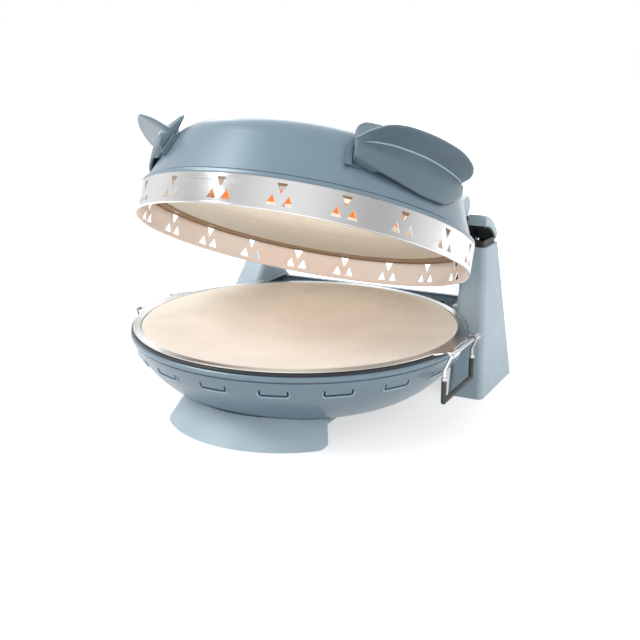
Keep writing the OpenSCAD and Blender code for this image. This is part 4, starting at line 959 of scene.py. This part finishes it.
def studio_world(light):
    """Even light of this strength, behind which camera, metal and glass see white."""
    world = bpy.data.worlds.new("studio_world")
    bpy.context.scene.world = world
    world.use_nodes = True
    tree = world.node_tree
    back = tree.nodes["Background"]
    back.inputs["Color"].default_value = (1, 1, 1, 1)
    seen = ray_kind(tree, "Is Camera Ray", "Is Glossy Ray", "Is Transmission Ray")
    tree.links.new(remap(tree, seen, 0, 1, light, 1.0), back.inputs["Strength"])


def area_lamp(name, place, target, size, power, mirrored):
    """A soft rectangular lamp that faces its target."""
    data = bpy.data.lights.new(name, "AREA")
    data.shape = "RECTANGLE"
    data.size, data.size_y = size
    data.energy = power
    lamp = bpy.data.objects.new(name, data)
    lamp.location = place
    lamp.rotation_euler = (Vector(target) - Vector(place)).to_track_quat("-Z", "Y").to_euler()
    lamp.visible_glossy = mirrored
    bpy.context.scene.collection.objects.link(lamp)


def photo_camera(studio):
    """The camera at the pictured view."""
    azimuth, elevation = math.radians(studio.azimuth), math.radians(studio.elevation)
    away = Vector(
        (
            math.sin(azimuth) * math.cos(elevation),
            -math.cos(azimuth) * math.cos(elevation),
            math.sin(elevation),
        )
    )
    data = bpy.data.cameras.new("photo_camera")
    data.sensor_width = 36.0
    data.lens = studio.lens
    data.shift_x, data.shift_y = PICTURE_SHIFT
    camera = bpy.data.objects.new("photo_camera", data)
    camera.location = Vector((0, BOWL_Y, studio.target_z)) + away * studio.distance
    camera.rotation_euler = (-away).to_track_quat("-Z", "Y").to_euler()
    bpy.context.scene.collection.objects.link(camera)
    bpy.context.scene.camera = camera


# Operators


def dress(material, names):
    """CAD nodes that show this finish."""
    for name in names:
        give(NODES[name], material)


class PIZZA_OT_painted_shells(Operator):
    """Paint the bowl, the dome and the ledge, and make the louvres' lips in a lighter paint as a painted
    highlight.
    """

    bl_idname = "pizza_maker.painted_shells"
    bl_label = "Painted shells"

    def execute(self, context):
        paint = satin_paint("satin_paint", looks().paint)
        dress(paint, ["base_bowl", "lid_dome", "lid_ledge"])
        # Painted highlight: the lips take a lighter copy of the paint, for the bright edge under each
        # louvre
        lip = satin_paint("lip_highlight_paint", scaled(looks().paint, 1.6))
        new_piece("louvre_lips", louvre_lips(), lip, "base")
        return {"FINISHED"}


class PIZZA_OT_mouldings(Operator):
    """Finish the foot, the stand, the caps and the black moulded parts."""

    bl_idname = "pizza_maker.mouldings"
    bl_label = "Mouldings"

    def execute(self, context):
        pale = grained_moulding("pale_moulding", looks().moulding)
        dress(pale, ["front_foot", "rear_stand", "hinge_cap_left", "hinge_cap_right"])
        dress(pale, ["arm_cover_left", "arm_cover_right"])
        black = grained_moulding("black_moulding", (0.018, 0.019, 0.021), roughness=0.5)
        dress(black, ["stand_cover", "hinge_liner_left", "hinge_liner_right"])
        dress(black, ["control_knob", "cord_gland", "control_body"])
        return {"FINISHED"}


class PIZZA_OT_handles(Operator):
    """Make the rounded skins of the lid's handles and the bead along their creases, lighter as a painted
    highlight.
    """

    bl_idname = "pizza_maker.handles"
    bl_label = "Lid handles"

    def execute(self, context):
        moulding = grained_moulding("handle_moulding", looks().handle, roughness=0.40)
        # Painted highlight: the bead takes a lighter copy of the handle's moulding, for the bright line
        # along the crease
        bead = grained_moulding("handle_bead_highlight", scaled(looks().handle, 3.2), roughness=0.3)
        dress(moulding, ["handle_spacers"])
        for side, word in ((1, "right"), (-1, "left")):
            fins = new_piece(
                f"handle_{word}_skin", handle_skin(side), moulding, "lid", angle=50.0
            )
            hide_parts(f"handle_{word}")
            new_piece(f"handle_{word}_bead", crease_bead(side), bead, "lid")
        return {"FINISHED"}


class PIZZA_OT_control(Operator):
    """Make the knob's ribs and mark and the dial's ticks."""

    bl_idname = "pizza_maker.control"
    bl_label = "Control"

    def execute(self, context):
        black = bpy.data.materials["black_moulding"]
        new_piece("knob_ribs", knob_ribs(), black, "control_knob")
        print_white = grained_moulding("printed_white", (0.78, 0.79, 0.80), roughness=0.5)
        mark = bmesh.new()
        block(mark, knob_place(), (-0.6, -13.2, 12.9), (0.6, -6.5, 13.06))
        new_piece("knob_mark", mark, print_white, "control_knob")
        new_piece("dial_ticks", dial_ticks(), print_white, "base")
        return {"FINISHED"}


class PIZZA_OT_back_details(Operator):
    """Make the cover's screen, the painted shade of the screw recesses and the gland's ribs."""

    bl_idname = "pizza_maker.back_details"
    bl_label = "Back details"

    def execute(self, context):
        wire = plain_metal("screen_wire", (0.45, 0.45, 0.46), 0.4)
        new_piece("cover_screen", cover_screen(), wire, "base")
        # Painted shade: dark crosses laid on the screw heads stand for the shadow in their recesses
        recess = plain_metal("recess_painted_shade", (0.012, 0.012, 0.013), 0.6, metallic=0.0)
        new_piece("cover_screw_recess_shade", cover_recess_shades(), recess, "base")
        new_piece("arm_screw_recess_shade", arm_recess_shades(), recess, "lid")
        black = bpy.data.materials["black_moulding"]
        new_piece("gland_ribs", gland_ribs(), black, "base")
        return {"FINISHED"}


class PIZZA_OT_fittings(Operator):
    """Make the bails' ferrules, the tray's spot welds, the band's seam and the tube's beads."""

    bl_idname = "pizza_maker.fittings"
    bl_label = "Small fittings"

    def execute(self, context):
        finishes = bpy.data.materials
        plated = finishes["plated_steel"]
        for side, word in ((1, "right"), (-1, "left")):
            new_piece(f"bail_{word}_ferrules", bail_ferrules(side), plated, f"bail_{word}")
        new_piece("tray_spot_welds", tray_spot_welds(), finishes["tray_steel"], "base")
        new_piece("band_seam", band_seam(), finishes["band_steel"], "lid")
        new_piece("tube_beads", tube_beads(), finishes["block_ceramic"], "lid")
        return {"FINISHED"}


class PIZZA_OT_metalwork(Operator):
    """Finish the band, the tray, the wires and the pans."""

    bl_idname = "pizza_maker.metalwork"
    bl_label = "Metalwork"

    def execute(self, context):
        steel = looks().steel
        dress(rolled_steel("band_steel", steel, True), ["lid_band"])
        tray = rolled_steel("tray_steel", scaled(steel, 0.95), False, roughness=0.22)
        dress(tray, ["tray_frame", "bail_left", "bail_right"])
        dark = plain_metal("black_metal", (0.02, 0.02, 0.022), 0.42, metallic=0.2)
        dress(dark, ["rim_ring", "hinge_arm_left", "hinge_arm_right"])
        plated = plain_metal("plated_steel", (0.62, 0.62, 0.63), 0.3)
        dress(plated, ["foot_screws", "strap_screws", "cover_screws", "handle_screws"])
        dress(plated, ["arm_screws", "stand_straps", "hinge_pin_left", "hinge_pin_right"])
        dress(plated, ["lower_heater_clips", "upper_heater_clips", "thermal_cutout"])
        bronze = plain_metal("bearing_metal", (0.72, 0.55, 0.28), 0.32)
        dress(bronze, ["hinge_bush_left", "hinge_bush_right"])
        dress(warm_ceiling("warm_ceiling", looks().ceiling), ["upper_reflector"])
        pan = plain_metal("bright_pan", (0.80, 0.76, 0.70), 0.35)
        dress(pan, ["base_liner", "lower_reflector"])
        step = plain_metal("browned_step", (0.40, 0.27, 0.16), 0.45, metallic=0.5)
        dress(step, ["reflector_step"])
        return {"FINISHED"}


class PIZZA_OT_heating(Operator):
    """Finish the heating tubes and their wiring."""

    bl_idname = "pizza_maker.heating"
    bl_label = "Heating"

    def execute(self, context):
        cold = plain_metal("cold_tube", (0.09, 0.085, 0.08), 0.5, metallic=0.6)
        dress(cold, ["lower_heater"])
        dress(glowing_tube("glowing_tube", looks().glow), ["upper_heater"])
        ceramic = plain_metal("block_ceramic", (0.85, 0.83, 0.78), 0.6, metallic=0.0)
        dress(ceramic, ["terminal_block"])
        dress(woven_sleeve("lead_sleeve", (0.72, 0.70, 0.65)), ["base_lead"])
        dress(amber_lens("amber_lens", (0.80, 0.24, 0.04)), ["indicator_lens"])
        return {"FINISHED"}


class PIZZA_OT_soft_parts(Operator):
    """Finish the pads and the bails' sleeves."""

    bl_idname = "pizza_maker.soft_parts"
    bl_label = "Pads and sleeves"

    def execute(self, context):
        soft = rubber("soft_black", (0.06, 0.066, 0.064))
        dress(soft, ["front_foot_pads", "rear_feet", "bail_grip_left", "bail_grip_right"])
        return {"FINISHED"}


class PIZZA_OT_stone(Operator):
    """Finish the baking stone."""

    bl_idname = "pizza_maker.stone"
    bl_label = "Baking stone"

    def execute(self, context):
        dress(baked_stone("baked_stone", looks().stone), ["pizza_stone"])
        return {"FINISHED"}


class PIZZA_OT_stage(Operator):
    """Set up the floor, the light and the camera."""

    bl_idname = "pizza_maker.stage"
    bl_label = "Studio"

    def execute(self, context):
        studio = context.scene.pizza_maker_studio
        context.scene.view_settings.view_transform = "Standard"
        studio_floor()
        studio_world(studio.world_light)
        for lamp in LAMPS:
            area_lamp(*lamp)
        photo_camera(studio)
        return {"FINISHED"}


OPERATORS = (
    PIZZA_OT_painted_shells,
    PIZZA_OT_mouldings,
    PIZZA_OT_handles,
    PIZZA_OT_metalwork,
    PIZZA_OT_heating,
    PIZZA_OT_control,
    PIZZA_OT_back_details,
    PIZZA_OT_fittings,
    PIZZA_OT_soft_parts,
    PIZZA_OT_stone,
    PIZZA_OT_stage,
)


class PIZZA_PT_looks(Panel):
    """Sidebar panel that lists the finishes, the pieces and the studio."""

    bl_idname = "PIZZA_PT_looks"
    bl_label = "Pizza maker"
    bl_space_type = "VIEW_3D"
    bl_region_type = "UI"
    bl_category = "Pizza maker"

    def draw(self, context):
        scene = context.scene
        for group in (scene.pizza_maker_finishes, scene.pizza_maker_details, scene.pizza_maker_studio):
            box = self.layout.box()
            for name in group.__annotations__:
                box.prop(group, name)
        for operator in OPERATORS:
            self.layout.operator(operator.bl_idname)


GROUPS = (PizzaMakerFinishes, PizzaMakerDetails, PizzaMakerStudio)


def register():
    """Register the settings, the operators and the panel."""
    for made in (*GROUPS, *OPERATORS, PIZZA_PT_looks):
        bpy.utils.register_class(made)
    bpy.types.Scene.pizza_maker_finishes = PointerProperty(type=PizzaMakerFinishes)
    bpy.types.Scene.pizza_maker_details = PointerProperty(type=PizzaMakerDetails)
    bpy.types.Scene.pizza_maker_studio = PointerProperty(type=PizzaMakerStudio)


def unregister():
    """Remove what register added."""
    del bpy.types.Scene.pizza_maker_studio
    del bpy.types.Scene.pizza_maker_details
    del bpy.types.Scene.pizza_maker_finishes
    for made in reversed((*GROUPS, *OPERATORS, PIZZA_PT_looks)):
        bpy.utils.unregister_class(made)


def run(operator):
    """Call an operator through bpy.ops by its id."""
    group, name = operator.bl_idname.split(".")
    getattr(getattr(bpy.ops, group), name)()


def main():
    """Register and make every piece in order."""
    register()
    for operator in OPERATORS:
        run(operator)


if __name__ == "__main__":
    main()
